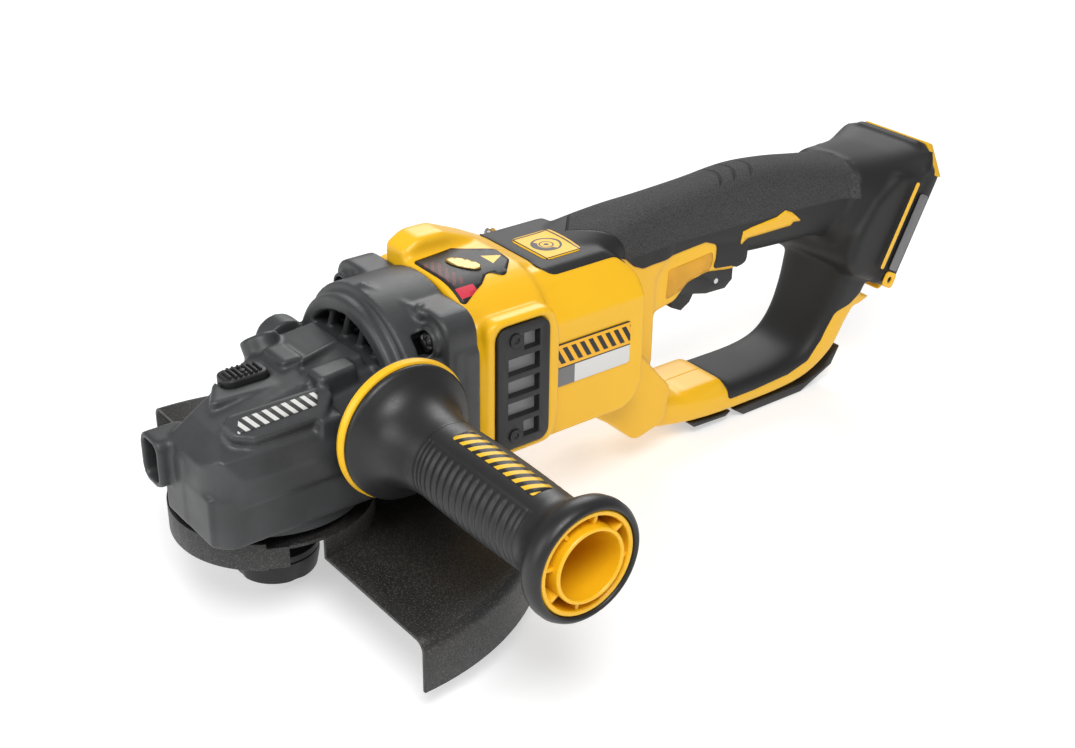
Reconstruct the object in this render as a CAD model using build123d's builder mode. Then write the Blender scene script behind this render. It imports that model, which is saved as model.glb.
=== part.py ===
from build123d import *
import os
from math import atan2, cos, degrees, hypot, radians, sin

# Cordless 230 mm angle grinder. Millimetres. The origin is on the spindle axis at the
# disc seat, +X runs back to the battery foot, +Z up, and the side handle points to -Y.

os.makedirs("parts", exist_ok=True)

# ---- driving dimensions -----------------------------------------------------------------
MOTOR_Z = 68.0            # height of the motor axis above the disc seat
GEAR_RATIO_TEETH = (33, 10)   # crown gear teeth, pinion teeth
MODULE = 2.0              # tooth size of the bevel pair at its outer end
FIT = 0.04                # radial clearance of a shaft in its bearing
GAP = 0.5                 # air gap beside a piece that moves

GUARD_R = 125.0           # outer radius of the guard
GUARD_SHEET = 1.6
GUARD_DECK_Z = 17.0       # top face of the guard's deck
GUARD_RIM_Z = -8.5        # lower edge of the guard's skirt
HUB_R = 47.4              # outer radius of the guard's hub wall
HUB_PLATE_Z = 27.0        # top face of the plate inside the hub
HUB_BAND_Z = 30.0         # top edge of the hub wall

HEAD_FLOOR = 37.0         # underside of the gear case
HEAD_FRONT = -50.0
HEAD_HALF = 48.0          # half width of the gear case
BELL_FRONT = 48.0         # where the gear case widens to the motor's diameter
BELL_R = 49.0
FLANGE_X = 67.0           # front face of the corner lugs
JOINT_X = 84.0            # gear case meets the motor housing
CASE_TOP = 117.0
CASE_BOTTOM = 20.5

BARREL_END = 129.0        # the wide part of the motor housing ends here
BODY_END = 190.0
WALL = 3.0                # moulded shell thickness

HANDLE_X = 34.7           # side handle axis
HANDLE_Z = 76.5
HANDLE_END_Y = -189.0
THREAD_R = 7.0            # M14 spindle and handle thread, outer radius
TAP_R = 6.0               # minor radius of the M14 tapped holes

FOOT_TILT = 26.0          # the battery face leans back by this angle
FOOT_POINT = (388.4, 51.2)   # a point of the battery face in the XZ plane
FOOT_LOW = -14.0          # extent of the foot along its face from that point
FOOT_HIGH = 70.0
FOOT_HALF = 36.5
FOOT_NECK_HALF = 32.0

MOTOR = Plane(origin=(0, 0, MOTOR_Z), x_dir=(0, 1, 0), z_dir=(1, 0, 0))
SIDE = Plane.XZ           # local x is +X, local y is +Z, normal is -Y
FOOT = Plane(
    origin=(FOOT_POINT[0], 0, FOOT_POINT[1]),
    x_dir=(0, 1, 0),
    z_dir=(cos(radians(FOOT_TILT)), 0, -sin(radians(FOOT_TILT))),
)


def motor_at(x):
    """Plane across the motor axis at x; local x is +Y, local y is +Z."""
    return MOTOR.offset(x)


def ring(plane, outer, inner, length, mode=Mode.ADD):
    """A tube or disc that grows along the plane's normal, added to the part being made."""
    with BuildPart(mode=Mode.PRIVATE) as tube:
        with BuildSketch(plane):
            Circle(outer)
            if inner > 0:
                Circle(inner, mode=Mode.SUBTRACT)
        extrude(amount=length)
    add(tube.part, mode=mode)


def socket_screw(plane, thread_r, length, head_r, head_h):
    """A cap screw: the head stands on the plane and the thread goes below it."""
    with BuildPart(mode=Mode.PRIVATE) as screw:
        with BuildSketch(plane):
            Circle(head_r)
        extrude(amount=head_h)
        with BuildSketch(plane):
            Circle(thread_r)
        extrude(amount=-length)
        with BuildSketch(plane.offset(head_h)):
            RegularPolygon(head_r * 0.52, 6)
        extrude(amount=-head_h * 0.6, mode=Mode.SUBTRACT)
    add(screw.part)


def ball_bearing(plane, inner, outer, width, balls):
    """Inner race, outer race and a row of balls as separate solids."""
    mid = (inner + outer) / 2
    ball_r = (outer - inner) * 0.24
    with BuildPart() as bearing:
        ring(plane, outer, mid + ball_r * 0.55, width)
        ring(plane, mid - ball_r * 0.55, inner, width)
        with Locations(plane.offset(width / 2)):
            Torus(mid, ball_r + 0.05, mode=Mode.SUBTRACT)
            with PolarLocations(mid, balls):
                Sphere(ball_r)
    return bearing


# ---- gear case --------------------------------------------------------------------------
ROOF_Z = 76.0             # roof of the gear chamber
CHAMBER_R = 36.5
PIN_X = -15.0             # spindle lock pin
BUTTON_X = -10.5
SEAT_TOP = 90.5           # rim of the raised seat around the lock button
POCKET_Z = 82.5           # floor of the lock button's pocket
BOSS = Plane(origin=(11.5, 13.0, 78.0), x_dir=(1, 0, 0), z_dir=(0, 0.6, 0.8))
BOSS_LENGTH = 27.0
SCREW_Y = 36.0
SCREW_Z = 32.0            # flange screws above and below the motor axis
BEARING_X = 42.0
FAN_CHAMBER_X = 56.0
FAN_CHAMBER_R = 44.0

with BuildPart() as gear_case:
    with BuildSketch(Plane.XY.offset(HEAD_FLOOR)):
        with BuildLine():
            Polyline(
                (HEAD_FRONT, -HEAD_HALF), (BELL_FRONT + 6, -HEAD_HALF),
                (BELL_FRONT + 6, HEAD_HALF), (HEAD_FRONT, HEAD_HALF), close=True,
            )
        make_face()
        fillet(vertices().group_by(Axis.X)[0], 19)
    extrude(amount=62)
    with BuildSketch(SIDE):
        with BuildLine():
            Polyline(
                (HEAD_FRONT - 9, 30), (HEAD_FRONT - 9, 74), (HEAD_FRONT, 77.5), (-38, 84),
                (-12, 88.5), (36, 95.4), (60, 97), (60, 30), close=True,
            )
        make_face()
    extrude(amount=60, both=True, mode=Mode.INTERSECT)
    with BuildSketch(Plane.YZ.offset(HEAD_FRONT - 20)):
        with BuildLine():
            Polyline(
                (-HEAD_HALF, 30), (-HEAD_HALF, 69), (-44.5, 79), (-25, 88.5), (-19, 99),
                (19, 99), (25, 88.5), (44.5, 79), (HEAD_HALF, 69), (HEAD_HALF, 30), close=True,
            )
        make_face()
    extrude(amount=150, mode=Mode.INTERSECT)
    # bell over the fan, with the raised half ring of the air outlet in front
    ring(motor_at(BELL_FRONT), BELL_R, 0, JOINT_X - BELL_FRONT)
    with BuildSketch(motor_at(43)):
        Circle(44)
        with Locations((0, 10)):
            Rectangle(100, 100, align=(Align.CENTER, Align.MAX), mode=Mode.SUBTRACT)
    extrude(amount=6)
    # the corner lugs that carry the flange screws
    with BuildSketch(motor_at(FLANGE_X)):
        Rectangle(2 * HEAD_HALF - 2, 2 * (BELL_R - 4))
        fillet(vertices(), 10)
    extrude(amount=JOINT_X - FLANGE_X)
    # nose socket
    with BuildSketch(Plane.YZ.offset(HEAD_FRONT - 7)):
        with Locations((-1, 65)):
            RectangleRounded(17, 23, 5)
    extrude(amount=20)
    # seat of the spindle lock, the pads on the left shoulder and the side handle bosses
    with BuildSketch(Plane.XY.offset(80)):
        with Locations((BUTTON_X, 0)):
            SlotOverall(40, 25)
    extrude(amount=SEAT_TOP - 80)
    with BuildSketch(Plane.XY.offset(84)):
        with Locations((22, -25)):
            RectangleRounded(25, 13, 3)
        with Locations((22, -12)):
            RectangleRounded(25, 4, 1.5)
    extrude(amount=12)
    for side in (-1, 1):
        with BuildSketch(Plane.XZ.offset(-side * 40)):
            with Locations((HANDLE_X, HANDLE_Z)):
                Circle(17)
        extrude(amount=-side * 16)
    with BuildSketch(BOSS):
        Circle(9.5)
    extrude(amount=BOSS_LENGTH)
    # keep the casting clear of the guard below and level on top
    with BuildSketch(Plane.XY.offset(CASE_BOTTOM)):
        Rectangle(400, 200)
    extrude(amount=-60, mode=Mode.SUBTRACT)
    with BuildSketch(Plane.XY.offset(CASE_TOP)):
        Rectangle(400, 200)
    extrude(amount=20, mode=Mode.SUBTRACT)
    # the guard's hub turns under the front of the bell
    ring(Plane.XY.offset(CASE_BOTTOM - 1), HUB_R + 2, 0, HUB_BAND_Z + 2.5 - CASE_BOTTOM,
         mode=Mode.SUBTRACT)
    # gear chamber, pinion tunnel, bearing seat and fan chamber
    ring(Plane.XY.offset(HEAD_FLOOR), CHAMBER_R, 0, ROOF_Z - HEAD_FLOOR, mode=Mode.SUBTRACT)
    ring(motor_at(17), 13.5, 0, BEARING_X - 17, mode=Mode.SUBTRACT)
    ring(motor_at(BEARING_X), 14, 0, 9, mode=Mode.SUBTRACT)
    ring(motor_at(BEARING_X + 9), 10, 0, 6, mode=Mode.SUBTRACT)
    ring(motor_at(FAN_CHAMBER_X), FAN_CHAMBER_R, 0, 40, mode=Mode.SUBTRACT)
    # needle bearing boss under the roof
    ring(Plane.XY.offset(66), 11, 8, ROOF_Z - 66)
    # air outlet: four slanted slots through the front wall of the bell
    with BuildSketch(motor_at(38)):
        with Locations((-16.5, 35.0), (-5.5, 36.5), (5.5, 36.5), (16.5, 35.0)):
            SlotOverall(13, 7, rotation=70)
    extrude(amount=30, mode=Mode.SUBTRACT)
    # lock button pocket and pin hole
    with BuildSketch(Plane.XY.offset(POCKET_Z)):
        with Locations((BUTTON_X, 0)):
            SlotOverall(29, 14)
    extrude(amount=20, mode=Mode.SUBTRACT)
    ring(Plane(origin=(PIN_X, 0, ROOF_Z - 2)), 3 + FIT, 0, 12, mode=Mode.SUBTRACT)
    # inside of the nose socket, open to the front
    with BuildSketch(Plane.YZ.offset(HEAD_FRONT - 10)):
        with Locations((-1, 65)):
            RectangleRounded(12.4, 18.4, 3)
    extrude(amount=19, mode=Mode.SUBTRACT)
    # tapped holes for the side handle on the left, the right and the slanted top boss
    for side in (-1, 1):
        with BuildSketch(Plane.XZ.offset(-side * 57)):
            with Locations((HANDLE_X, HANDLE_Z)):
                Circle(TAP_R if side > 0 else THREAD_R)
        extrude(amount=side * 15, mode=Mode.SUBTRACT)
    with BuildSketch(BOSS.offset(BOSS_LENGTH)):
        Circle(TAP_R)
    extrude(amount=-15, mode=Mode.SUBTRACT)
    # screw holes of the rear flange and of the retainer below
    with BuildSketch(motor_at(FLANGE_X - 6)):
        with GridLocations(2 * SCREW_Y, 2 * SCREW_Z, 2, 2):
            Circle(5.2)
    extrude(amount=6, mode=Mode.SUBTRACT)
    with BuildSketch(motor_at(FLANGE_X - 1)):
        with GridLocations(2 * SCREW_Y, 2 * SCREW_Z, 2, 2):
            Circle(2.5)
    extrude(amount=30, mode=Mode.SUBTRACT)
    with BuildSketch(Plane.XY.offset(HEAD_FLOOR)):
        with PolarLocations(40.5, 4, start_angle=45):
            Circle(2)
    extrude(amount=12, mode=Mode.SUBTRACT)
gear_case.part.label = "gear_case"
export_step(gear_case.part, "parts/gear_case.step")

# ---- bearing retainer, which also carries the guard ---------------------------------------
with BuildPart() as bearing_retainer:
    ring(Plane.XY.offset(31.5), 44, 0, HEAD_FLOOR - 31.5)
    ring(Plane.XY.offset(HUB_PLATE_Z - GUARD_SHEET - GAP), 30.6, 0, 8)
    ring(Plane.XY.offset(21), 33.5, 0, HUB_PLATE_Z - GUARD_SHEET - GAP - 21)
    ring(Plane.XY.offset(26), 17.5, 0, 12, mode=Mode.SUBTRACT)
    ring(Plane.XY.offset(20), 10, 0, 8, mode=Mode.SUBTRACT)
    with BuildSketch(Plane.XY.offset(31)):
        with PolarLocations(40.5, 4, start_angle=45):
            Circle(2.1)
    extrude(amount=8, mode=Mode.SUBTRACT)
bearing_retainer.part.label = "bearing_retainer"
export_step(bearing_retainer.part, "parts/bearing_retainer.step")

with BuildPart() as retainer_screws:
    for angle in (45, 135, 225, 315):
        place = Plane(
            origin=(40.5 * cos(radians(angle)), 40.5 * sin(radians(angle)), 31.5),
            z_dir=(0, 0, -1),
        )
        socket_screw(place, 2, 16, 3.4, 1.0)
retainer_screws.part.label = "retainer_screws"
export_step(retainer_screws.part, "parts/retainer_screws.step")

with BuildPart() as case_screws:
    for y in (-SCREW_Y, SCREW_Y):
        for z in (-SCREW_Z, SCREW_Z):
            place = Plane(origin=(FLANGE_X, y, MOTOR_Z + z), z_dir=(-1, 0, 0))
            socket_screw(place, 2.5, 30, 4.6, 5)
case_screws.part.label = "case_screws"
export_step(case_screws.part, "parts/case_screws.step")

# ---- spindle group ------------------------------------------------------------------------
with BuildPart() as spindle:
    with BuildSketch(SIDE):
        with BuildLine():
            Polyline(
                (0, -14.5), (6, -14.5), (THREAD_R, -13.5), (THREAD_R, 9), (9.5, 9), (9.5, 25.6),
                (7.5, 25.6), (7.5, 54), (5, 54), (5, 75), (0, 75), close=True,
            )
        make_face()
    revolve(axis=Axis.Z)
spindle.part.label = "spindle"
export_step(spindle.part, "parts/spindle.step")

lower_bearing = ball_bearing(Plane.XY.offset(26), 7.5 + FIT, 17.5, 10.8, 9)
lower_bearing.part.label = "lower_spindle_bearing"
export_step(lower_bearing.part, "parts/lower_spindle_bearing.step")

with BuildPart() as upper_bearing:
    ring(Plane.XY.offset(66.5), 8, 7.2, 9)
    with BuildSketch(Plane.XY.offset(66.5)):
        with PolarLocations(6.12, 14):
            Circle(1.05)
    extrude(amount=9)
upper_bearing.part.label = "upper_spindle_bearing"
export_step(upper_bearing.part, "parts/upper_spindle_bearing.step")

with BuildPart() as inner_flange:
    with BuildSketch(SIDE):
        with BuildLine():
            Polyline(
                (THREAD_R + FIT, 0.3), (16, 0.3), (16, 0), (20.5, 0), (20.5, 3), (14, 6),
                (14, 9), (THREAD_R + FIT, 9), close=True,
            )
        make_face()
    revolve(axis=Axis.Z)
inner_flange.part.label = "inner_flange"
export_step(inner_flange.part, "parts/inner_flange.step")

with BuildPart() as locking_nut:
    with BuildSketch(SIDE):
        with BuildLine():
            Polyline(
                (THREAD_R, -0.2), (20.5, -0.2), (20.5, -3.5), (19.2, -11), (18, -12),
                (THREAD_R, -12), close=True,
            )
        make_face()
    revolve(axis=Axis.Z)
    with BuildSketch(Plane.XY.offset(-12)):
        with PolarLocations(13, 4):
            Circle(2.6)
    extrude(amount=5, mode=Mode.SUBTRACT)
locking_nut.part.label = "locking_nut"
export_step(locking_nut.part, "parts/locking_nut.step")

# ---- bevel gears, whose cones meet at the point where the axes cross ------------------------
CROWN_TEETH, PINION_TEETH = GEAR_RATIO_TEETH
CROWN_R = MODULE * CROWN_TEETH / 2
PINION_R = MODULE * PINION_TEETH / 2
CONE_OUT = hypot(CROWN_R, PINION_R)
CONE_IN = CONE_OUT - 10.0
PINION_CONE = degrees(atan2(PINION_R, CROWN_R))
ADDENDUM = 0.8 * MODULE
DEDENDUM = 1.15 * MODULE


def bevel_tooth(plane, cone_angle, phase):
    """One straight tooth on a pitch cone with its apex at the plane's origin."""
    lean = radians(cone_angle)
    turn = radians(phase)
    axis = plane.z_dir
    radial = plane.x_dir * cos(turn) + plane.y_dir * sin(turn)
    across = plane.y_dir * cos(turn) - plane.x_dir * sin(turn)
    along = axis * cos(lean) + radial * sin(lean)
    out = radial * cos(lean) - axis * sin(lean)
    wires = []
    for distance in (CONE_IN, CONE_OUT):
        size = distance / CONE_OUT
        middle = plane.origin + along * distance
        corners = []
        for width, height in ((-0.95, -DEDENDUM), (0.95, -DEDENDUM), (0.27, ADDENDUM), (-0.27, ADDENDUM)):
            corners.append(middle + across * (width * MODULE * size) + out * (height * size))
        wires.append(Wire.make_polygon(corners))
    return Solid.make_loft(wires, ruled=True)


CROWN_PLANE = Plane(origin=(0, 0, MOTOR_Z), x_dir=(1, 0, 0), z_dir=(0, 0, -1))
PINION_PLANE = MOTOR
LOCK_HOLES = 8

with BuildPart() as crown_gear:
    with BuildSketch(SIDE):
        with BuildLine():
            Polyline(
                (7.5, 44), (13, 44), (13, 47.5), (34.4, 47.5), (34.4, 55.3), (23.2, 58.9),
                (21.5, 53), (7.5, 53), close=True,
            )
        make_face()
    revolve(axis=Axis.Z)
    with BuildSketch(Plane.XY.offset(44)):
        with PolarLocations(-PIN_X, LOCK_HOLES):
            Circle(3.6)
    extrude(amount=12, mode=Mode.SUBTRACT)
    for tooth in range(CROWN_TEETH):
        step = 360 / CROWN_TEETH
        add(bevel_tooth(CROWN_PLANE, 90 - PINION_CONE, (tooth + 0.5) * step))
crown_gear.part.label = "crown_gear"
export_step(crown_gear.part, "parts/crown_gear.step")

PINION_BASE = 35.0        # back face of the pinion's toothed cone
with BuildPart() as pinion:
    with BuildSketch(SIDE):
        with BuildLine():
            Polyline(
                (23, MOTOR_Z + 4), (23, MOTOR_Z + 5.2), (33.4, MOTOR_Z + 7.9),
                (PINION_BASE, MOTOR_Z + 9), (41, MOTOR_Z + 9), (41, MOTOR_Z + 4), close=True,
            )
        make_face()
    revolve(axis=Axis((0, 0, MOTOR_Z), (1, 0, 0)))
    for tooth in range(PINION_TEETH):
        add(bevel_tooth(PINION_PLANE, PINION_CONE, 270 + tooth * 360 / PINION_TEETH))
pinion.part.label = "pinion"
export_step(pinion.part, "parts/pinion.step")

# ---- spindle lock ---------------------------------------------------------------------------
BUTTON_TOP = 91.5
with BuildPart() as lock_button:
    with BuildSketch(Plane.XY.offset(POCKET_Z + 4.4)):
        with Locations((BUTTON_X, 0)):
            SlotOverall(28, 13)
    extrude(amount=BUTTON_TOP - POCKET_Z - 4.4)
    with BuildSketch(Plane.XY.offset(BUTTON_TOP)):
        with Locations((BUTTON_X, 0)):
            with GridLocations(2.6, 0, 8, 1):
                Rectangle(1.2, 11)
    extrude(amount=-0.8, mode=Mode.SUBTRACT)
lock_button.part.label = "spindle_lock_button"
export_step(lock_button.part, "parts/spindle_lock_button.step")

with BuildPart() as lock_pin:
    ring(Plane(origin=(PIN_X, 0, 54)), 3, 0, POCKET_Z + 4.4 - 54)
lock_pin.part.label = "spindle_lock_pin"
export_step(lock_pin.part, "parts/spindle_lock_pin.step")

SPRING_WIRE = 0.4
with BuildPart() as lock_spring:
    with BuildLine():
        Helix(pitch=1.25, height=3.5, radius=4.4, center=(PIN_X, 0, POCKET_Z + SPRING_WIRE))
    with BuildSketch(Plane(origin=(PIN_X + 4.4, 0, POCKET_Z + SPRING_WIRE), z_dir=(0, 1, 0))):
        Circle(SPRING_WIRE)
    sweep()
lock_spring.part.label = "spindle_lock_spring"
export_step(lock_spring.part, "parts/spindle_lock_spring.step")

# ---- guard ----------------------------------------------------------------------------------
BEND_R = 6.0
GUARD_EDGE = Plane(origin=(0, 0, 0), x_dir=(0, -1, 0), z_dir=(-1, 0, 0))
LUG_Y = HUB_R + 3.5       # clamp lugs stand out of the hub on the right
LUG_Z = 23.0

with BuildPart() as guard:
    # skirt, deck and hub wall over the rear half, then the plate inside the hub
    with BuildSketch(GUARD_EDGE):
        with BuildLine():
            Polyline(
                (GUARD_R - BEND_R, GUARD_DECK_Z), (HUB_R, GUARD_DECK_Z), (HUB_R, HUB_PLATE_Z),
                (HUB_R - GUARD_SHEET, HUB_PLATE_Z),
                (HUB_R - GUARD_SHEET, GUARD_DECK_Z - GUARD_SHEET),
                (GUARD_R - BEND_R, GUARD_DECK_Z - GUARD_SHEET),
            )
            CenterArc((GUARD_R - BEND_R, GUARD_DECK_Z - BEND_R), BEND_R - GUARD_SHEET, 0, 90)
            Polyline(
                (GUARD_R - GUARD_SHEET, GUARD_DECK_Z - BEND_R),
                (GUARD_R - GUARD_SHEET, GUARD_RIM_Z), (GUARD_R, GUARD_RIM_Z),
                (GUARD_R, GUARD_DECK_Z - BEND_R),
            )
            CenterArc((GUARD_R - BEND_R, GUARD_DECK_Z - BEND_R), BEND_R, 0, 90)
        make_face()
    revolve(axis=Axis.Z, revolution_arc=180)
    ring(Plane.XY.offset(HUB_PLATE_Z - GUARD_SHEET), HUB_R - GUARD_SHEET, 31.0, GUARD_SHEET)
    with Locations((4, LUG_Y, LUG_Z)):
        Box(3, 9, 9)
    with Locations(Plane.YZ.offset(4)):
        with Locations((LUG_Y + 1, LUG_Z)):
            Hole(2, depth=4)
guard.part.label = "guard"
export_step(guard.part, "parts/guard.step")

BAND_START = 93.5         # the strap runs round the front between these angles
BAND_END = 250.0
TONGUE = 12.0             # its last stretch is a lower tongue
with BuildPart() as guard_band:
    for start, end, low, high in (
        (BAND_START, BAND_END - TONGUE, GUARD_DECK_Z - 1, HUB_BAND_Z),
        (BAND_END - TONGUE, BAND_END, GUARD_DECK_Z, HUB_BAND_Z - 2.5),
    ):
        with BuildSketch(Plane.XY.offset(low)):
            with BuildLine():
                outer = CenterArc((0, 0), HUB_R, start, end - start)
                inner = CenterArc((0, 0), HUB_R - GUARD_SHEET, start, end - start)
                Line(outer @ 0, inner @ 0)
                Line(outer @ 1, inner @ 1)
            make_face()
        extrude(amount=high - low)
    with Locations((-5, LUG_Y, LUG_Z)):
        Box(3, 9, 9)
    with Locations(Plane.YZ.offset(-5)):
        with Locations((LUG_Y + 1, LUG_Z)):
            Hole(2, depth=4)
guard_band.part.label = "guard_band"
export_step(guard_band.part, "parts/guard_band.step")

with BuildPart() as guard_clamp_screw:
    place = Plane(origin=(-6.5, LUG_Y + 1, LUG_Z), z_dir=(-1, 0, 0))
    socket_screw(place, 1.95, 15, 3.4, 3)
guard_clamp_screw.part.label = "guard_clamp_screw"
export_step(guard_clamp_screw.part, "parts/guard_clamp_screw.step")

# ---- motor ----------------------------------------------------------------------------------
SHAFT_FRONT = 22.0
CORE_FRONT = 94.0
CORE_LENGTH = 36.0
CORE_R = 23.5
STATOR_R = 39.0
STATOR_BORE = 24.4
COIL_OVERHANG = 6.0
REAR_BEARING_X = 152.0
POLES = 4
STATOR_SLOTS = 6

with BuildPart() as motor_shaft:
    ring(motor_at(SHAFT_FRONT + 2), 4, 0, 17)
    ring(motor_at(SHAFT_FRONT + 19), 6, 0, 10)
    ring(motor_at(SHAFT_FRONT + 29), 7, 0, REAR_BEARING_X - 1.5 - SHAFT_FRONT - 29)
    ring(motor_at(REAR_BEARING_X - 1.5), 4, 0, 10)
motor_shaft.part.label = "motor_shaft"
export_step(motor_shaft.part, "parts/motor_shaft.step")

front_bearing = ball_bearing(motor_at(BEARING_X + 0.5), 6 + FIT, 14, 8, 8)
front_bearing.part.label = "front_motor_bearing"
export_step(front_bearing.part, "parts/front_motor_bearing.step")

rear_bearing = ball_bearing(motor_at(REAR_BEARING_X), 4 + FIT, 11, 7, 7)
rear_bearing.part.label = "rear_motor_bearing"
export_step(rear_bearing.part, "parts/rear_motor_bearing.step")

with BuildPart() as rotor_core:
    ring(motor_at(CORE_FRONT), CORE_R, 7, CORE_LENGTH)
    with BuildSketch(motor_at(CORE_FRONT)):
        with PolarLocations(17.5, POLES):
            Rectangle(4, 22)
    extrude(amount=CORE_LENGTH, mode=Mode.SUBTRACT)
rotor_core.part.label = "rotor_core"
export_step(rotor_core.part, "parts/rotor_core.step")

with BuildPart() as rotor_magnets:
    with BuildSketch(motor_at(CORE_FRONT + 0.5)):
        with PolarLocations(17.5, POLES):
            Rectangle(3.8, 21.6)
    extrude(amount=CORE_LENGTH - 1)
rotor_magnets.part.label = "rotor_magnets"
export_step(rotor_magnets.part, "parts/rotor_magnets.step")

FAN_X = 59.0
FAN_BLADES = 13
with BuildPart() as fan:
    ring(motor_at(FAN_X + 10), 41, 7, 1.6)
    ring(motor_at(FAN_X), 11, 7, 11)
    with BuildSketch(motor_at(FAN_X)):
        with PolarLocations(26, FAN_BLADES):
            Rectangle(28, 1.6, rotation=24)
    extrude(amount=10.5)
fan.part.label = "fan"
export_step(fan.part, "parts/fan.step")

with BuildPart() as fan_baffle:
    ring(motor_at(FAN_X + 14), FAN_CHAMBER_R - 0.3, 21, 2)
    ring(motor_at(FAN_X + 14), FAN_CHAMBER_R - 0.3, FAN_CHAMBER_R - 2.8, 11)
fan_baffle.part.label = "fan_baffle"
export_step(fan_baffle.part, "parts/fan_baffle.step")

with BuildPart() as stator_core:
    ring(motor_at(CORE_FRONT), STATOR_R, STATOR_BORE, CORE_LENGTH)
    with BuildSketch(motor_at(CORE_FRONT)):
        with PolarLocations(31.5, STATOR_SLOTS, start_angle=30):
            RectangleRounded(10, 17, 1.5)
    extrude(amount=CORE_LENGTH, mode=Mode.SUBTRACT)
stator_core.part.label = "stator_core"
export_step(stator_core.part, "parts/stator_core.step")

COIL_FRONT = CORE_FRONT - COIL_OVERHANG
COIL_LENGTH = CORE_LENGTH + 2 * COIL_OVERHANG
with BuildPart() as stator_windings:
    for tooth in range(STATOR_SLOTS):
        angle = radians(tooth * 360 / STATOR_SLOTS)
        radial = Vector(0, cos(angle), sin(angle))
        place = Plane(
            origin=Vector(0, 0, MOTOR_Z) + radial * 27.4, x_dir=(1, 0, 0), z_dir=radial,
        )
        with BuildSketch(place):
            with Locations((COIL_FRONT + COIL_LENGTH / 2, 0)):
                RectangleRounded(COIL_LENGTH, 25.6, 5)
                RectangleRounded(CORE_LENGTH + 1, 20.2, 2, mode=Mode.SUBTRACT)
        extrude(amount=6)
stator_windings.part.label = "stator_windings"
export_step(stator_windings.part, "parts/stator_windings.step")

with BuildPart() as position_board:
    ring(motor_at(COIL_FRONT + COIL_LENGTH + 2), 34, 12, 1.6)
    with BuildSketch(motor_at(COIL_FRONT + COIL_LENGTH + 2)):
        with PolarLocations(19, 3):
            Rectangle(3, 4)
    extrude(amount=-1.2)
position_board.part.label = "position_board"
export_step(position_board.part, "parts/position_board.step")

# ---- motor housing and handle, moulded as two shells --------------------------------------
CORE_Z = 69.0             # middle height of the barrel and of the body behind it
BARREL_HALF = 46.0
BODY_HALF = 42.0
LOOP_HALF = 21.0
COVER_X = 108.0
COVER_Z = 70.0
COVER_SIZE = (30.0, 64.0)
COVER_SEAT = 45.0         # floor of the pockets under the vent covers
COVER_FACE = 49.6         # outer face of the vent covers
SKIN = 2.5                # thickness of the soft overmould
PIVOT = (230.0, 95.0)     # trigger hinge in the XZ plane
SWITCH_FLOOR = 99.5
# grip sections: x, lower edge, upper edge, half width
GRIP_SECTIONS = (
    (176, 88.0, 119.5, 19.5), (225, 86.0, 121.0, 18.5), (285, 77.0, 125.0, 19.5),
    (338, 75.0, 118.5, 22.0), (376, 70.0, 108.0, 27.0),
)
WINDOW = (
    (216.5, 40), (222, 20), (240, 7.5), (262, 4), (312, 3.5), (330, 6), (341, 18), (349, 35),
    (356, 58), (356, 72),
)
LOOP_OUTSIDE = (
    (352, 92), (376, 92), (386, 62), (380, 36), (368, 20), (362, 1), (352, -9), (336, -14),
    (300, -14), (262, -13), (236, -9.5), (150, 30), (150, 92), (218, 92),
)


def grip_tube(inset, first=0):
    """The grip as a loft through its sections, smaller all round by the inset."""
    with BuildPart(mode=Mode.PRIVATE) as tube:
        for x, low, high, half in GRIP_SECTIONS[first:]:
            with BuildSketch(Plane.YZ.offset(x)):
                with Locations((0, (low + high) / 2)):
                    RectangleRounded(2 * (half - inset), high - low - 2 * inset, half * 0.62 - inset * 0.8)
        loft()
    return tube.part


def loop_strip(grow):
    """The lining of the hand opening, along its floor and up its rear wall."""
    with BuildPart(mode=Mode.PRIVATE) as strip:
        with BuildSketch(SIDE):
            with BuildLine():
                Polyline(*WINDOW, (300, 84), (225, 84), close=True)
            make_face()
            offset(amount=SKIN)
            with BuildLine():
                Polyline(*WINDOW, (300, 84), (225, 84), close=True)
            make_face(mode=Mode.SUBTRACT)
            with BuildLine():
                Polyline((240, 12), (240, -12), (372, -12), (372, 70), (346, 70), (300, 12), close=True)
            make_face(mode=Mode.INTERSECT)
        extrude(amount=LOOP_HALF + grow, both=True)
    return strip.part


GRIP_OUTER = grip_tube(0)
GRIP_CORE = grip_tube(SKIN)
GRIP_HOLLOW = grip_tube(SKIN + WALL)
LOOP_LINING = loop_strip(0.0)
LOOP_CUT = loop_strip(1.0)
HOUSING_SCREWS = ((153, 105, 38), (153, 34, 38), (204, 14, 18), (290, -5, 18), (363, 30, 18), (356, 98, 18))

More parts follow.
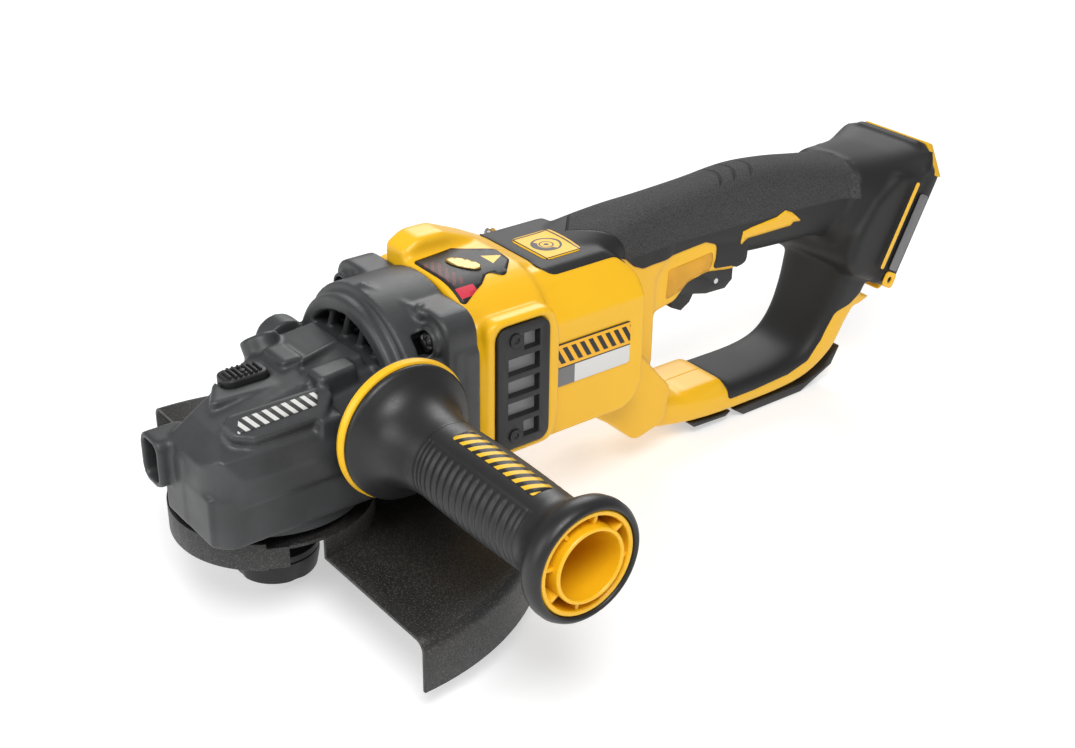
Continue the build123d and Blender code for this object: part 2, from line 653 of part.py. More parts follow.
with BuildPart() as shell:
    with BuildSketch(motor_at(JOINT_X)):
        with Locations((0, CORE_Z - MOTOR_Z)):
            RectangleRounded(2 * BARREL_HALF, 2 * (CASE_TOP - CORE_Z), 34)
    extrude(amount=BARREL_END - JOINT_X)
    with BuildSketch(SIDE):
        with Locations((COVER_X, COVER_Z)):
            RectangleRounded(COVER_SIZE[0] + 5, COVER_SIZE[1] + 5, 8)
    extrude(amount=BARREL_HALF + 2, both=True)
    with BuildSketch(motor_at(BARREL_END)):
        with Locations((0, CORE_Z - MOTOR_Z)):
            RectangleRounded(2 * BODY_HALF, 86, 14)
    extrude(amount=BODY_END - BARREL_END)
    with BuildSketch(SIDE):
        with BuildLine():
            Polyline(*WINDOW, *LOOP_OUTSIDE, close=True)
        make_face()
    extrude(amount=LOOP_HALF, both=True)
    add(GRIP_CORE)
    # battery foot: the wide rail block and the neck in front of it
    with BuildSketch(FOOT):
        with Locations((0, (FOOT_LOW + FOOT_HIGH) / 2)):
            RectangleRounded(2 * FOOT_HALF, FOOT_HIGH - FOOT_LOW, 8)
    extrude(amount=-24)
    with BuildSketch(FOOT.offset(-20)):
        with Locations((0, (FOOT_LOW + FOOT_HIGH) / 2 + 3)):
            RectangleRounded(2 * FOOT_NECK_HALF, FOOT_HIGH - FOOT_LOW - 10, 12)
    extrude(amount=-24)
    # inside: fan and stator space, web with the rear bearing seat, electronics bay
    ring(motor_at(JOINT_X), 42, 0, BARREL_END - WALL - JOINT_X, mode=Mode.SUBTRACT)
    ring(motor_at(BARREL_END - WALL - 1), STATOR_R + 0.1, 0, 20, mode=Mode.SUBTRACT)
    ring(motor_at(145), 9, 0, REAR_BEARING_X - 145, mode=Mode.SUBTRACT)
    ring(motor_at(REAR_BEARING_X - 0.5), 11, 0, 12, mode=Mode.SUBTRACT)
    with BuildSketch(motor_at(161)):
        with Locations((0, CORE_Z - MOTOR_Z)):
            RectangleRounded(2 * (BODY_HALF - WALL), 80, 11)
    extrude(amount=BODY_END - 161 - WALL, mode=Mode.SUBTRACT)
    add(GRIP_HOLLOW, mode=Mode.SUBTRACT)
    with BuildSketch(FOOT.offset(-12)):
        with Locations((0, 28)):
            Rectangle(50, 58)
    extrude(amount=-26, mode=Mode.SUBTRACT)
    # battery slot with undercut rails, open at its lower end
    with BuildSketch(FOOT):
        with Locations((0, 22)):
            Rectangle(56, 80)
    extrude(amount=-9, mode=Mode.SUBTRACT)
    with BuildSketch(FOOT.offset(-5)):
        with Locations((0, 22)):
            Rectangle(62, 80)
    extrude(amount=-4, mode=Mode.SUBTRACT)
    add(LOOP_CUT, mode=Mode.SUBTRACT)
    # trigger mouth and hinge
    with Locations((253, 0, 82)):
        Box(60, 22.6, 40, mode=Mode.SUBTRACT)
    with BuildSketch(SIDE):
        with Locations(PIVOT):
            Circle(2)
    extrude(amount=14, both=True, mode=Mode.SUBTRACT)
    # pockets and air openings behind the vent covers
    for side in (-1, 1):
        with BuildSketch(Plane.XZ.offset(-side * COVER_SEAT)):
            with Locations((COVER_X, COVER_Z)):
                RectangleRounded(COVER_SIZE[0] + 0.6, COVER_SIZE[1] + 0.6, 6.3)
        extrude(amount=-side * 8, mode=Mode.SUBTRACT)
        with BuildSketch(Plane.XZ.offset(-side * 30)):
            with Locations((COVER_X, COVER_Z)):
                with GridLocations(0, 11.5, 1, 4):
                    Rectangle(20, 8)
        extrude(amount=-side * 20, mode=Mode.SUBTRACT)
    with BuildSketch(motor_at(JOINT_X)):
        with GridLocations(2 * SCREW_Y, 2 * SCREW_Z, 2, 2):
            Circle(2.5)
    extrude(amount=FLANGE_X + 31 - JOINT_X, mode=Mode.SUBTRACT)
    # screw holes, with pockets for the heads on the right
    for x, z, seat in HOUSING_SCREWS:
        with BuildSketch(Plane.XZ.offset(12)):
            with Locations((x, z)):
                Circle(1.65)
        extrude(amount=-80, mode=Mode.SUBTRACT)
        with BuildSketch(Plane.XZ.offset(-seat)):
            with Locations((x, z)):
                Circle(3.6)
        extrude(amount=-20, mode=Mode.SUBTRACT)

with BuildPart() as housing_left:
    add(shell.part)
    split(bisect_by=Plane.XZ, keep=Keep.TOP)
housing_left.part.label = "housing_left"
export_step(housing_left.part, "parts/housing_left.step")

with BuildPart() as housing_right:
    add(shell.part)
    split(bisect_by=Plane.XZ, keep=Keep.BOTTOM)
housing_right.part.label = "housing_right"
export_step(housing_right.part, "parts/housing_right.step")

with BuildPart() as housing_screws:
    for x, z, seat in HOUSING_SCREWS:
        socket_screw(Plane(origin=(x, seat, z), z_dir=(0, 1, 0)), 1.6, seat + 10, 3.2, 2)
housing_screws.part.label = "housing_screws"
export_step(housing_screws.part, "parts/housing_screws.step")

YELLOW_WINDOW = ((170, 60), (170, 90), (188, 94), (196, 95), (246, 101), (251, 92), (247, 60))
PATCH_FRONT = 131.0       # the overmould's flat patch on top of the body starts here
with BuildPart() as grip_overmould:
    add(GRIP_OUTER)
    with Locations((BODY_END - 30, 0, CORE_Z - 7)):
        Box(60, 80, 100, mode=Mode.SUBTRACT)
    with BuildSketch(Plane.XY.offset(CORE_Z + 43)):
        with Locations(((PATCH_FRONT + BODY_END) / 2, 0)):
            RectangleRounded(BODY_END - PATCH_FRONT, 39, 6)
    extrude(amount=7)
    add(GRIP_CORE, mode=Mode.SUBTRACT)
    add(shell.part, mode=Mode.SUBTRACT)
    with BuildSketch(SIDE):
        with BuildLine():
            Polyline(*YELLOW_WINDOW, close=True)
        make_face()
    extrude(amount=60, both=True, mode=Mode.SUBTRACT)
    with Locations((253, 0, 82)):
        Box(60, 23, 40, mode=Mode.SUBTRACT)
    split(bisect_by=Plane.XY.offset(88), keep=Keep.TOP)
grip_overmould.part.label = "grip_overmould"
export_step(grip_overmould.part, "parts/grip_overmould.step")

with BuildPart() as loop_overmould:
    add(LOOP_LINING)
loop_overmould.part.label = "loop_overmould"
export_step(loop_overmould.part, "parts/loop_overmould.step")

with BuildPart() as loop_pads:
    for outline in (
        ((280, -14), (288, -19.5), (334, -19.5), (358, -9), (364, 2), (362, 1), (352, -9), (336, -14)),
        ((246, -11), (250, -15), (274, -16), (278, -13.6), (262, -13)),
    ):
        with BuildSketch(SIDE):
            with BuildLine():
                Polyline(*outline, close=True)
            make_face()
        extrude(amount=LOOP_HALF - 2, both=True)
loop_pads.part.label = "loop_pads"
export_step(loop_pads.part, "parts/loop_pads.step")


def vent_cover(side):
    """A slotted cover plate; side is -1 on the left and 1 on the right."""
    with BuildPart() as cover:
        with BuildSketch(Plane.XZ.offset(-side * (COVER_SEAT + 0.5))):
            with Locations((COVER_X, COVER_Z)):
                RectangleRounded(*COVER_SIZE, 6)
                with GridLocations(0, 11.5, 1, 5):
                    Rectangle(18, 8.4, mode=Mode.SUBTRACT)
            with Locations((COVER_X - 5, COVER_Z - 23), (COVER_X - 5, COVER_Z + 23)):
                Rectangle(10, 9)
            with Locations((COVER_X - 5, COVER_Z - 25), (COVER_X - 5, COVER_Z + 25)):
                Circle(1.7, mode=Mode.SUBTRACT)
        extrude(amount=-side * (COVER_FACE - COVER_SEAT - 0.5))
    return cover


vent_cover_left = vent_cover(-1)
vent_cover_left.part.label = "vent_cover_left"
export_step(vent_cover_left.part, "parts/vent_cover_left.step")

vent_cover_right = vent_cover(1)
vent_cover_right.part.label = "vent_cover_right"
export_step(vent_cover_right.part, "parts/vent_cover_right.step")

with BuildPart() as vent_meshes:
    for side in (-1, 1):
        with BuildSketch(Plane.XZ.offset(-side * (COVER_SEAT + 0.05))):
            with Locations((COVER_X + 0.5, COVER_Z)):
                Rectangle(19.5, 58)
            with Locations((COVER_X - 5, COVER_Z - 25), (COVER_X - 5, COVER_Z + 25)):
                Circle(3.5, mode=Mode.SUBTRACT)
        extrude(amount=-side * 0.4)
vent_meshes.part.label = "vent_meshes"
export_step(vent_meshes.part, "parts/vent_meshes.step")

with BuildPart() as vent_screws:
    for side in (-1, 1):
        for z in (COVER_Z - 25, COVER_Z + 25):
            place = Plane(origin=(COVER_X - 5, side * COVER_FACE, z), z_dir=(0, side, 0))
            socket_screw(place, 1.65, COVER_FACE - COVER_SEAT, 3.4, 0.8)
vent_screws.part.label = "vent_screws"
export_step(vent_screws.part, "parts/vent_screws.step")

with BuildPart() as side_badges:
    for side in (-1, 1):
        with BuildSketch(Plane.XZ.offset(-side * BODY_HALF)):
            with Locations((154, 69)):
                RectangleRounded(50, 23, 2)
        extrude(amount=-side * 0.4)
side_badges.part.label = "side_badges"
export_step(side_badges.part, "parts/side_badges.step")

# ---- trigger, lock-off lever and electronics ----------------------------------------------
LEVER_PIVOT = (267.0, 66.0)
TRIGGER_HALF = 10.5
TRIGGER_OUTLINE = (
    (225, 98), (225, 84), (233, 68), (244, 64.5), (260, 60.5), (274, 60), (279, 64), (279, 76),
    (262, 85), (260, 92), (240, 92), (235, 98),
)
with BuildPart() as trigger:
    with BuildSketch(SIDE):
        with BuildLine():
            Polyline(*TRIGGER_OUTLINE, close=True)
        make_face()
        with Locations(PIVOT):
            Circle(2 + FIT, mode=Mode.SUBTRACT)
        with Locations(LEVER_PIVOT):
            Circle(1.5, mode=Mode.SUBTRACT)
    extrude(amount=TRIGGER_HALF, both=True)
    with Locations((255, 0, 66)):
        Box(38, 10, 17, mode=Mode.SUBTRACT)
trigger.part.label = "trigger"
export_step(trigger.part, "parts/trigger.step")

with BuildPart() as trigger_pin:
    with Locations((PIVOT[0], 0, PIVOT[1])):
        Cylinder(2, 28, rotation=(90, 0, 0))
trigger_pin.part.label = "trigger_pin"
export_step(trigger_pin.part, "parts/trigger_pin.step")

with BuildPart() as lock_lever_pin:
    with Locations((LEVER_PIVOT[0], 0, LEVER_PIVOT[1])):
        Cylinder(1.5, 2 * TRIGGER_HALF, rotation=(90, 0, 0))
lock_lever_pin.part.label = "lock_lever_pin"
export_step(lock_lever_pin.part, "parts/lock_lever_pin.step")

LEVER_OUTLINE = (
    (240, 60), (241, 55), (248, 51.5), (254, 55), (258, 62), (268, 62), (271, 66), (267, 70),
    (256, 69), (246, 68), (241, 66),
)
with BuildPart() as lock_off_lever:
    with BuildSketch(SIDE):
        with BuildLine():
            Polyline(*LEVER_OUTLINE, close=True)
        make_face()
        with Locations(LEVER_PIVOT):
            Circle(1.5 + FIT, mode=Mode.SUBTRACT)
    extrude(amount=4.5, both=True)
lock_off_lever.part.label = "lock_off_lever"
export_step(lock_off_lever.part, "parts/lock_off_lever.step")

SPRING_X = 250.0
TRIGGER_BACK = 92.0
with BuildPart() as trigger_spring:
    with BuildLine():
        Helix(
            pitch=1.6, height=SWITCH_FLOOR - TRIGGER_BACK - 1, radius=3,
            center=(SPRING_X, 0, TRIGGER_BACK + 0.5),
        )
    with BuildSketch(Plane(origin=(SPRING_X + 3, 0, TRIGGER_BACK + 0.5), z_dir=(0, 1, 0))):
        Circle(0.45)
    sweep()
trigger_spring.part.label = "trigger_spring"
export_step(trigger_spring.part, "parts/trigger_spring.step")

with BuildPart() as switch_module:
    with Locations((258, 0, SWITCH_FLOOR)):
        Box(36, 18, 13, align=(Align.CENTER, Align.CENTER, Align.MIN))
        Box(8, 8, 17, align=(Align.CENTER, Align.CENTER, Align.MIN))
switch_module.part.label = "switch_module"
export_step(switch_module.part, "parts/switch_module.step")

with BuildPart() as controller_module:
    with BuildSketch(motor_at(165)):
        with Locations((0, 2)):
            RectangleRounded(58, 60, 3)
    extrude(amount=14)
    with BuildSketch(motor_at(179)):
        with Locations((0, 2)):
            with GridLocations(7, 0, 7, 1):
                Rectangle(2, 54)
    extrude(amount=5)
controller_module.part.label = "controller_module"
export_step(controller_module.part, "parts/controller_module.step")

# ---- battery foot ---------------------------------------------------------------------------
with BuildPart() as terminal_block:
    with BuildSketch(FOOT.offset(-9)):
        with Locations((0, 49)):
            RectangleRounded(36, 18, 2)
    extrude(amount=6)
terminal_block.part.label = "terminal_block"
export_step(terminal_block.part, "parts/terminal_block.step")

BLADES = (-14, -7, 0, 7, 14)
with BuildPart() as contact_blades:
    with BuildSketch(FOOT.offset(-8)):
        with Locations(*[(x, 31) for x in BLADES]):
            Rectangle(0.8, 18)
    extrude(amount=5)
contact_blades.part.label = "contact_blades"
export_step(contact_blades.part, "parts/contact_blades.step")

with BuildPart() as foot_trim:
    with BuildSketch(FOOT):
        with Locations((0, FOOT_HIGH + 1)):
            Rectangle(2 * FOOT_HALF - 8, 2)
    extrude(amount=-22)
foot_trim.part.label = "foot_trim"
export_step(foot_trim.part, "parts/foot_trim.step")


def foot_side(side):
    """Plane on one side of the rail block; local y runs up along the battery face."""
    shift = FOOT.x_dir * (side * FOOT_HALF)
    return Plane(origin=FOOT.origin + shift, x_dir=FOOT.z_dir, z_dir=FOOT.x_dir * side)


def side_pair(height, width, middle, depth, proud, radius, hole_r=0.0):
    """Two plates on the sides of the rail block."""
    with BuildPart() as pair:
        for side in (-1, 1):
            place = foot_side(side)
            up = 1 if place.y_dir.dot(FOOT.y_dir) > 0 else -1
            with BuildSketch(place):
                with Locations((-depth, up * middle)):
                    RectangleRounded(width, height, radius)
                    if hole_r > 0:
                        Circle(hole_r, mode=Mode.SUBTRACT)
            extrude(amount=proud)
    return pair


rail_plates = side_pair(46, 7.5, 20, 7.0, 0.5, 1.5)
rail_plates.part.label = "rail_plates"
export_step(rail_plates.part, "parts/rail_plates.step")

rail_inlays = side_pair(52, 3.0, 22, 17.0, 0.4, 1.2)
rail_inlays.part.label = "rail_inlays"
export_step(rail_inlays.part, "parts/rail_inlays.step")

lanyard_tabs = side_pair(9, 9, -8.5, 7.0, 1.2, 2.5, 2.0)
lanyard_tabs.part.label = "lanyard_tabs"
export_step(lanyard_tabs.part, "parts/lanyard_tabs.step")

# ---- side handle ----------------------------------------------------------------------------
HANDLE = Plane(origin=(HANDLE_X, 0, HANDLE_Z), x_dir=(1, 0, 0), z_dir=(0, 0, 1))
HANDLE_AXIS = Axis((HANDLE_X, 0, HANDLE_Z), (0, 1, 0))


def turned(points, mode=Mode.ADD):
    """A turned piece of the side handle from its (radius, y) outline."""
    with BuildPart(mode=Mode.PRIVATE) as piece:
        with BuildSketch(HANDLE):
            with BuildLine():
                Polyline(*points, close=True)
            make_face()
        revolve(axis=HANDLE_AXIS)
    add(piece.part, mode=mode)


HANDLE_CORE_R = 15.0
SPOKES = 8
with BuildPart() as side_handle_core:
    turned((
        (THREAD_R, -59), (33, -59), (33, -61.5), (HANDLE_CORE_R, -61.5), (HANDLE_CORE_R, -170),
        (16.5, -173), (16.5, HANDLE_END_Y), (14.6, HANDLE_END_Y), (12.8, -170), (12.4, -112),
        (8, -106), (THREAD_R, -106),
    ))
    turned((
        (16, -176), (22.5, -176), (22.5, HANDLE_END_Y), (20.7, HANDLE_END_Y), (20.7, -178),
        (16, -178),
    ))
    with Locations(Plane(origin=(HANDLE_X, -183, HANDLE_Z), z_dir=(0, -1, 0))):
        with PolarLocations(18.6, SPOKES, start_angle=180 / SPOKES):
            Box(4.6, 1.6, 10.4)
side_handle_core.part.label = "side_handle_core"
export_step(side_handle_core.part, "parts/side_handle_core.step")

GROOVES = 13
with BuildPart() as side_handle_grip:
    turned((
        (HANDLE_CORE_R, -61.8), (31.6, -61.8), (31.6, -64), (27, -68.5), (21.5, -75), (18.2, -83),
        (17.2, -90), (18.4, -112), (18.8, -140), (17.6, -166), (20.5, -172), (26.5, -176.5),
        (26.5, -184.5), (24.5, -187), (22.6, -187), (22.6, -175.8), (16.7, -175.8), (16.7, -173),
        (HANDLE_CORE_R, -169.8),
    ))
    for groove in range(GROOVES):
        y = -98 - groove * 4.6
        turned(((17.6, y), (22, y), (22, y - 1.2), (17.6, y - 1.2)), mode=Mode.SUBTRACT)
side_handle_grip.part.label = "side_handle_grip"
export_step(side_handle_grip.part, "parts/side_handle_grip.step")

with BuildPart() as side_handle_washer:
    turned(((THREAD_R, -56.1), (31, -56.1), (32.6, -57), (32.6, -58.8), (THREAD_R, -58.8)))
side_handle_washer.part.label = "side_handle_washer"
export_step(side_handle_washer.part, "parts/side_handle_washer.step")

with BuildPart() as side_handle_stud:
    turned(((0, -42.5), (THREAD_R - 1, -42.5), (THREAD_R, -43.5), (THREAD_R, -105.5), (0, -105.5)))
side_handle_stud.part.label = "side_handle_stud"
export_step(side_handle_stud.part, "parts/side_handle_stud.step")
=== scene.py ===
"""Cordless two-handed angle grinder: the visible castings, shells, grips and finishes.

Every outline is in millimetres in the grinder's own frame: the origin is on the spindle axis at
the disc seat, +X runs back to the battery foot, -Y is the side handle and +Z is up.
"""

from math import atan2, cos, pi, radians, sin, tan

import bmesh
import bpy
from mathutils import Matrix, Vector
from mathutils.bvhtree import BVHTree


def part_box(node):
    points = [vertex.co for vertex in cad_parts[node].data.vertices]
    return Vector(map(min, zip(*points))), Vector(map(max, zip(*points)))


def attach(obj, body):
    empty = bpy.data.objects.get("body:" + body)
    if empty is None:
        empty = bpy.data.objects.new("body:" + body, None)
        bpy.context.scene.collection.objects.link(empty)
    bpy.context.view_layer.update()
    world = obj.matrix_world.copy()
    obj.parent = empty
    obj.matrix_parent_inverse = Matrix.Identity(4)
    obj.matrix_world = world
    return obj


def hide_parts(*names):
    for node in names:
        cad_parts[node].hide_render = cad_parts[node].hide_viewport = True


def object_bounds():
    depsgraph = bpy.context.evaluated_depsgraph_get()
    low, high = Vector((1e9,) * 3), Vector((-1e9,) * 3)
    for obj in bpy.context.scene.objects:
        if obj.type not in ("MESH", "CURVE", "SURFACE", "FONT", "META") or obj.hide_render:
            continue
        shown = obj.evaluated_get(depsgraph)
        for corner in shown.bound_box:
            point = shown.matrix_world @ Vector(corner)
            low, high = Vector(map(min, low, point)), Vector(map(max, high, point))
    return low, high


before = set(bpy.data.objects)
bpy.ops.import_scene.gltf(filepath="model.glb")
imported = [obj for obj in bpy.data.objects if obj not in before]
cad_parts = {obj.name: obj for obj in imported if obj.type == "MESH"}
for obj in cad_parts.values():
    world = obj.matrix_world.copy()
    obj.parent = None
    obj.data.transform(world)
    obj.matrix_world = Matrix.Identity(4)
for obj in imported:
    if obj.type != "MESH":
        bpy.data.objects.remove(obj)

bl_info = {
    "name": "Angle grinder",
    "version": (1, 0, 0),
    "blender": (4, 5, 0),
    "location": "View3D > Sidebar > Grinder",
    "description": "Builds the visible pieces of a cordless angle grinder around its frame",
    "category": "Object",
}

CAD_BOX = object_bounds()
MM = 0.001

# ---- places taken over from the frame, in millimetres -------------------------------------------
MOTOR_Z = 68.0            # height of the motor's axis
HUB_R = 47.4              # outer radius of the guard's hub strap
JOINT_X = 84.0            # where the gear case meets the housing
BARREL_END = 129.0        # where the housing's barrel meets its squarer body
HANDLE_X = 34.7           # axis of the side handle
HANDLE_Z = 76.5
SCREWS = [(y, z) for y in (-36, 36) for z in (36, 100)]     # flange screws
FOOT_TILT = radians(26)
FOOT_POINT = Vector((388.4, 0, 51.2))
FOOT_UP = Vector((sin(FOOT_TILT), 0, cos(FOOT_TILT)))
FOOT_OUT = Vector((cos(FOOT_TILT), 0, -sin(FOOT_TILT)))
BOSS_FOOT = Vector((11.5, 13, 78))     # top handle boss, from its foot inside the case
BOSS_AXIS = Vector((0, 0.6, 0.8))
BOSS_LENGTH = 20.0
FAR_CORNER = ((-35.8, 3.8, 77), (-0.567, 0.824, 0.85))      # plane that trims the head
PAD_ORIGIN = Vector((0, -25, 88.5))    # sloping pad beside the lock button
PAD_SLOPE = Vector((0, -19.5, -9.5))
ICON_X, ICON_Y = 155.5, -4             # middle of the disc icon
SEAM = 0.12               # half the gap where the two housing halves meet
VENT_OUTLINE_R = 6.3      # corners of the vent covers' pockets

# ---- the camera, in metres ----------------------------------------------------------------------
CAMERA_PLACE = (-0.2854, -0.563, 0.42)
CAMERA_RIGHT = Vector((0.7923, -0.6102, 0.0131))
CAMERA_UP = Vector((0.2772, 0.3789, 0.8829))
CAMERA_BACK = Vector((-0.5437, -0.6958, 0.4693))
CAMERA_LENS = 53.06       # focal length in mm on a sensor 36 mm wide
LIGHT_AIM = Vector((0.16, -0.02, 0.06))
LIGHTS = (                # name, place, size and watts
    ("key", (-0.35, -0.75, 1.25), 0.7, 15), ("fill", (-1.2, 0.1, 0.7), 0.9, 7),
    ("rear", (0.9, 0.9, 0.9), 0.8, 9),
)


# ---- outlines -----------------------------------------------------------------------------------
def rounded(points, radius, steps=5):
    """The outline with each corner turned into an arc; radius is one number or one per corner."""
    radii = radius if hasattr(radius, "__len__") else [radius] * len(points)
    outline = []
    for i, (corner, r) in enumerate(zip(points, radii)):
        here = Vector(corner)
        before = (Vector(points[i - 1]) - here).normalized()
        after = (Vector(points[(i + 1) % len(points)]) - here).normalized()
        half = before.angle(after) / 2
        if r <= 0 or abs(half - pi / 2) < 0.01:
            outline.append(tuple(here))
            continue
        centre = here + (before + after).normalized() * (r / sin(half))
        start = here + before * (r / tan(half)) - centre
        end = here + after * (r / tan(half)) - centre
        for k in range(steps + 1):
            outline.append(tuple(centre + start.slerp(end, k / steps) * r))
    return outline


def rectangle(centre, width, height, radius=0.0):
    """A rectangle, with rounded corners where a radius is given."""
    a, b = centre
    w, h = width / 2, height / 2
    corners = [(a - w, b - h), (a + w, b - h), (a + w, b + h), (a - w, b + h)]
    return rounded(corners, radius) if radius else corners


# ---- solids, each one closed mesh in millimetres ------------------------------------------------
PLACES = {
    "X": lambda a, b, t: Vector((t, a, b)),
    "Y": lambda a, b, t: Vector((a, t, b)),
    "Z": lambda a, b, t: Vector((a, b, t)),
}


def round_edges(bm, width, segments=2, sharper=25):
    """Bevels every edge that turns by more than the given degrees."""
    edges = [e for e in bm.edges if e.is_manifold and e.calc_face_angle(0) > radians(sharper)]
    bmesh.ops.bevel(bm, geom=edges, offset=width, offset_type="OFFSET", affect="EDGES",
                    segments=segments, profile=0.5, material=-1, clamp_overlap=True)
    return bm


def prism(outline, low, high, axis="Y", bevel=0.0, segments=2):
    """A closed prism of an outline, from low to high along one axis."""
    bm = bmesh.new()
    place = PLACES[axis]
    face = bm.faces.new([bm.verts.new(place(a, b, low)) for a, b in outline])
    grown = bmesh.ops.extrude_face_region(bm, geom=[face])["geom"]
    moved = [v for v in grown if isinstance(v, bmesh.types.BMVert)]
    bmesh.ops.translate(bm, verts=moved, vec=place(0, 0, high - low))
    bmesh.ops.recalc_face_normals(bm, faces=bm.faces)
    if bevel:
        round_edges(bm, bevel, segments)
    return bm


def carve(bm, point, normal):
    """Cuts away what lies on the normal's side of a plane and closes the cut."""
    cut = bmesh.ops.bisect_plane(bm, geom=bm.verts[:] + bm.edges[:] + bm.faces[:], dist=1e-5,
                                 plane_co=point, plane_no=normal, clear_outer=True)
    rim = [e for e in cut["geom_cut"] if isinstance(e, bmesh.types.BMEdge)]
    bmesh.ops.holes_fill(bm, edges=rim, sides=0)
    return bm


def carve_line(bm, axis, start, end):
    """Cuts away what lies to the left of a line drawn across the given axis."""
    place = PLACES[axis]
    along = (end[0] - start[0], end[1] - start[1])
    return carve(bm, place(start[0], start[1], 0), place(-along[1], along[0], 0))


def rod(start, end, radius, bevel=0.0, steps=48, taper=None):
    """A round bar from one point to another, or a cone where taper gives its far radius."""
    start, end = Vector(start), Vector(end)
    bm = bmesh.new()
    bmesh.ops.create_cone(bm, cap_ends=True, segments=steps, radius1=radius,
                          radius2=radius if taper is None else taper,
                          depth=(end - start).length)
    if bevel:
        round_edges(bm, bevel, sharper=40)
    turn = (end - start).to_track_quat("Z", "Y").to_matrix().to_4x4()
    turn.translation = (start + end) / 2
    bmesh.ops.transform(bm, matrix=turn, verts=bm.verts)
    return bm


def box(low, high, bevel=0.0, segments=2):
    """A box between two corners."""
    low, high = Vector(low), Vector(high)
    bm = bmesh.new()
    bmesh.ops.create_cube(bm, size=1)
    bmesh.ops.scale(bm, vec=high - low, verts=bm.verts)
    bmesh.ops.translate(bm, vec=(low + high) / 2, verts=bm.verts)
    if bevel:
        round_edges(bm, bevel, segments)
    return bm


def seated(bm, origin, across, along):
    """Moves a solid made in XY with +Z up onto a plane given by its origin and two directions."""
    x, y = Vector(across).normalized(), Vector(along).normalized()
    place = Matrix((x, y, x.cross(y))).transposed().to_4x4()
    place.translation = origin
    bmesh.ops.transform(bm, matrix=place, verts=bm.verts)
    return bm


def turned(profile, axis="Z", centre=(0, 0, 0), steps=96):
    """A full turn of a closed profile of (radius, height) points."""
    bm = bmesh.new()
    verts = [bm.verts.new((r, 0, h)) for r, h in profile]
    edges = [bm.edges.new((verts[i - 1], verts[i])) for i in range(len(verts))]
    bmesh.ops.spin(bm, geom=verts + edges, cent=(0, 0, 0), axis=(0, 0, 1), angle=2 * pi,
                   steps=steps, use_merge=True)
    bmesh.ops.remove_doubles(bm, verts=bm.verts, dist=1e-4)
    bmesh.ops.recalc_face_normals(bm, faces=bm.faces)
    if axis == "Y":
        bmesh.ops.rotate(bm, verts=bm.verts, cent=(0, 0, 0),
                         matrix=Matrix.Rotation(pi / 2, 3, "X"))
    bmesh.ops.translate(bm, vec=centre, verts=bm.verts)
    return bm


def between(values, t):
    """A smooth value between equally weighted rows of numbers, t running from 0 to the last row."""
    i = min(int(t), len(values) - 2)
    f = t - i
    rows = [values[max(i - 1, 0)], values[i], values[i + 1], values[min(i + 2, len(values) - 1)]]
    found = []
    for a, b, c, d in zip(*rows):
        found.append(b + 0.5 * f * (c - a + f * (2 * a - 5 * b + 4 * c - d
                                                + f * (3 * (b - c) + d - a))))
    return found


def loft(sections, finer=4, around=48):
    """A skin over sections (low point x, z, high point x, z, half width, power)."""
    bm = bmesh.new()
    rings = []
    for k in range((len(sections) - 1) * finer + 1):
        lx, lz, hx, hz, half, power = between(sections, k / finer)
        made = bmesh.ops.create_circle(bm, segments=around, radius=1)["verts"]
        for v in made:
            turn = atan2(v.co.y, v.co.x)
            side = abs(cos(turn)) ** (2 / power) * (1 if cos(turn) >= 0 else -1)
            up = abs(sin(turn)) ** (2 / power) * (1 if sin(turn) >= 0 else -1)
            share = (up + 1) / 2
            v.co = (lx + (hx - lx) * share, side * half, lz + (hz - lz) * share)
        rings.append([e for e in bm.edges if e.verts[0] in made and e.verts[1] in made])
    for first, second in zip(rings, rings[1:]):
        bmesh.ops.bridge_loops(bm, edges=first + second)
    bmesh.ops.holes_fill(bm, edges=rings[0] + rings[-1], sides=0)
    bmesh.ops.recalc_face_normals(bm, faces=bm.faces)
    return bm


# ---- joining solids into one casting ------------------------------------------------------------
def joined(solids):
    """One mesh that holds every solid."""
    whole = bmesh.new()
    for solid in solids:
        mesh = bpy.data.meshes.new("solid")
        solid.to_mesh(mesh)
        solid.free()
        whole.from_mesh(mesh)
        bpy.data.meshes.remove(mesh)
    return whole


def put(name, bm, scale=MM):
    """An object in the scene from a mesh in millimetres."""
    bmesh.ops.scale(bm, vec=(scale,) * 3, verts=bm.verts)
    mesh = bpy.data.meshes.new(name)
    bm.to_mesh(mesh)
    bm.free()
    piece = bpy.data.objects.new(name, mesh)
    bpy.context.scene.collection.objects.link(piece)
    return piece


def apply_modifiers(piece):
    """Replaces the mesh by what its modifiers make of it."""
    graph = bpy.context.evaluated_depsgraph_get()
    made = bpy.data.meshes.new_from_object(piece.evaluated_get(graph))
    piece.modifiers.clear()
    old = piece.data
    piece.data = made
    bpy.data.meshes.remove(old)
    return piece


def remesh(piece, voxel):
    """One even skin over everything in the piece."""
    skin = piece.modifiers.new("skin", "REMESH")
    skin.mode = "VOXEL"
    skin.voxel_size = voxel
    return apply_modifiers(piece)


def combine(piece, tool, operation):
    """A boolean with another object, which is used up."""
    step = piece.modifiers.new(operation.lower(), "BOOLEAN")
    step.operation = operation
    step.object = tool
    step.solver = "MANIFOLD"
    apply_modifiers(piece)
    bpy.data.objects.remove(tool)
    return piece


def soften(piece, passes):
    """Rounds a dense skin by moving each point towards its neighbours."""
    bm = bmesh.new()
    bm.from_mesh(piece.data)
    for _ in range(passes):
        bmesh.ops.smooth_vert(bm, verts=bm.verts, factor=0.5, use_axis_x=True, use_axis_y=True,
                              use_axis_z=True)
    for face in bm.faces:
        face.smooth = True
    bm.to_mesh(piece.data)
    bm.free()
    return piece


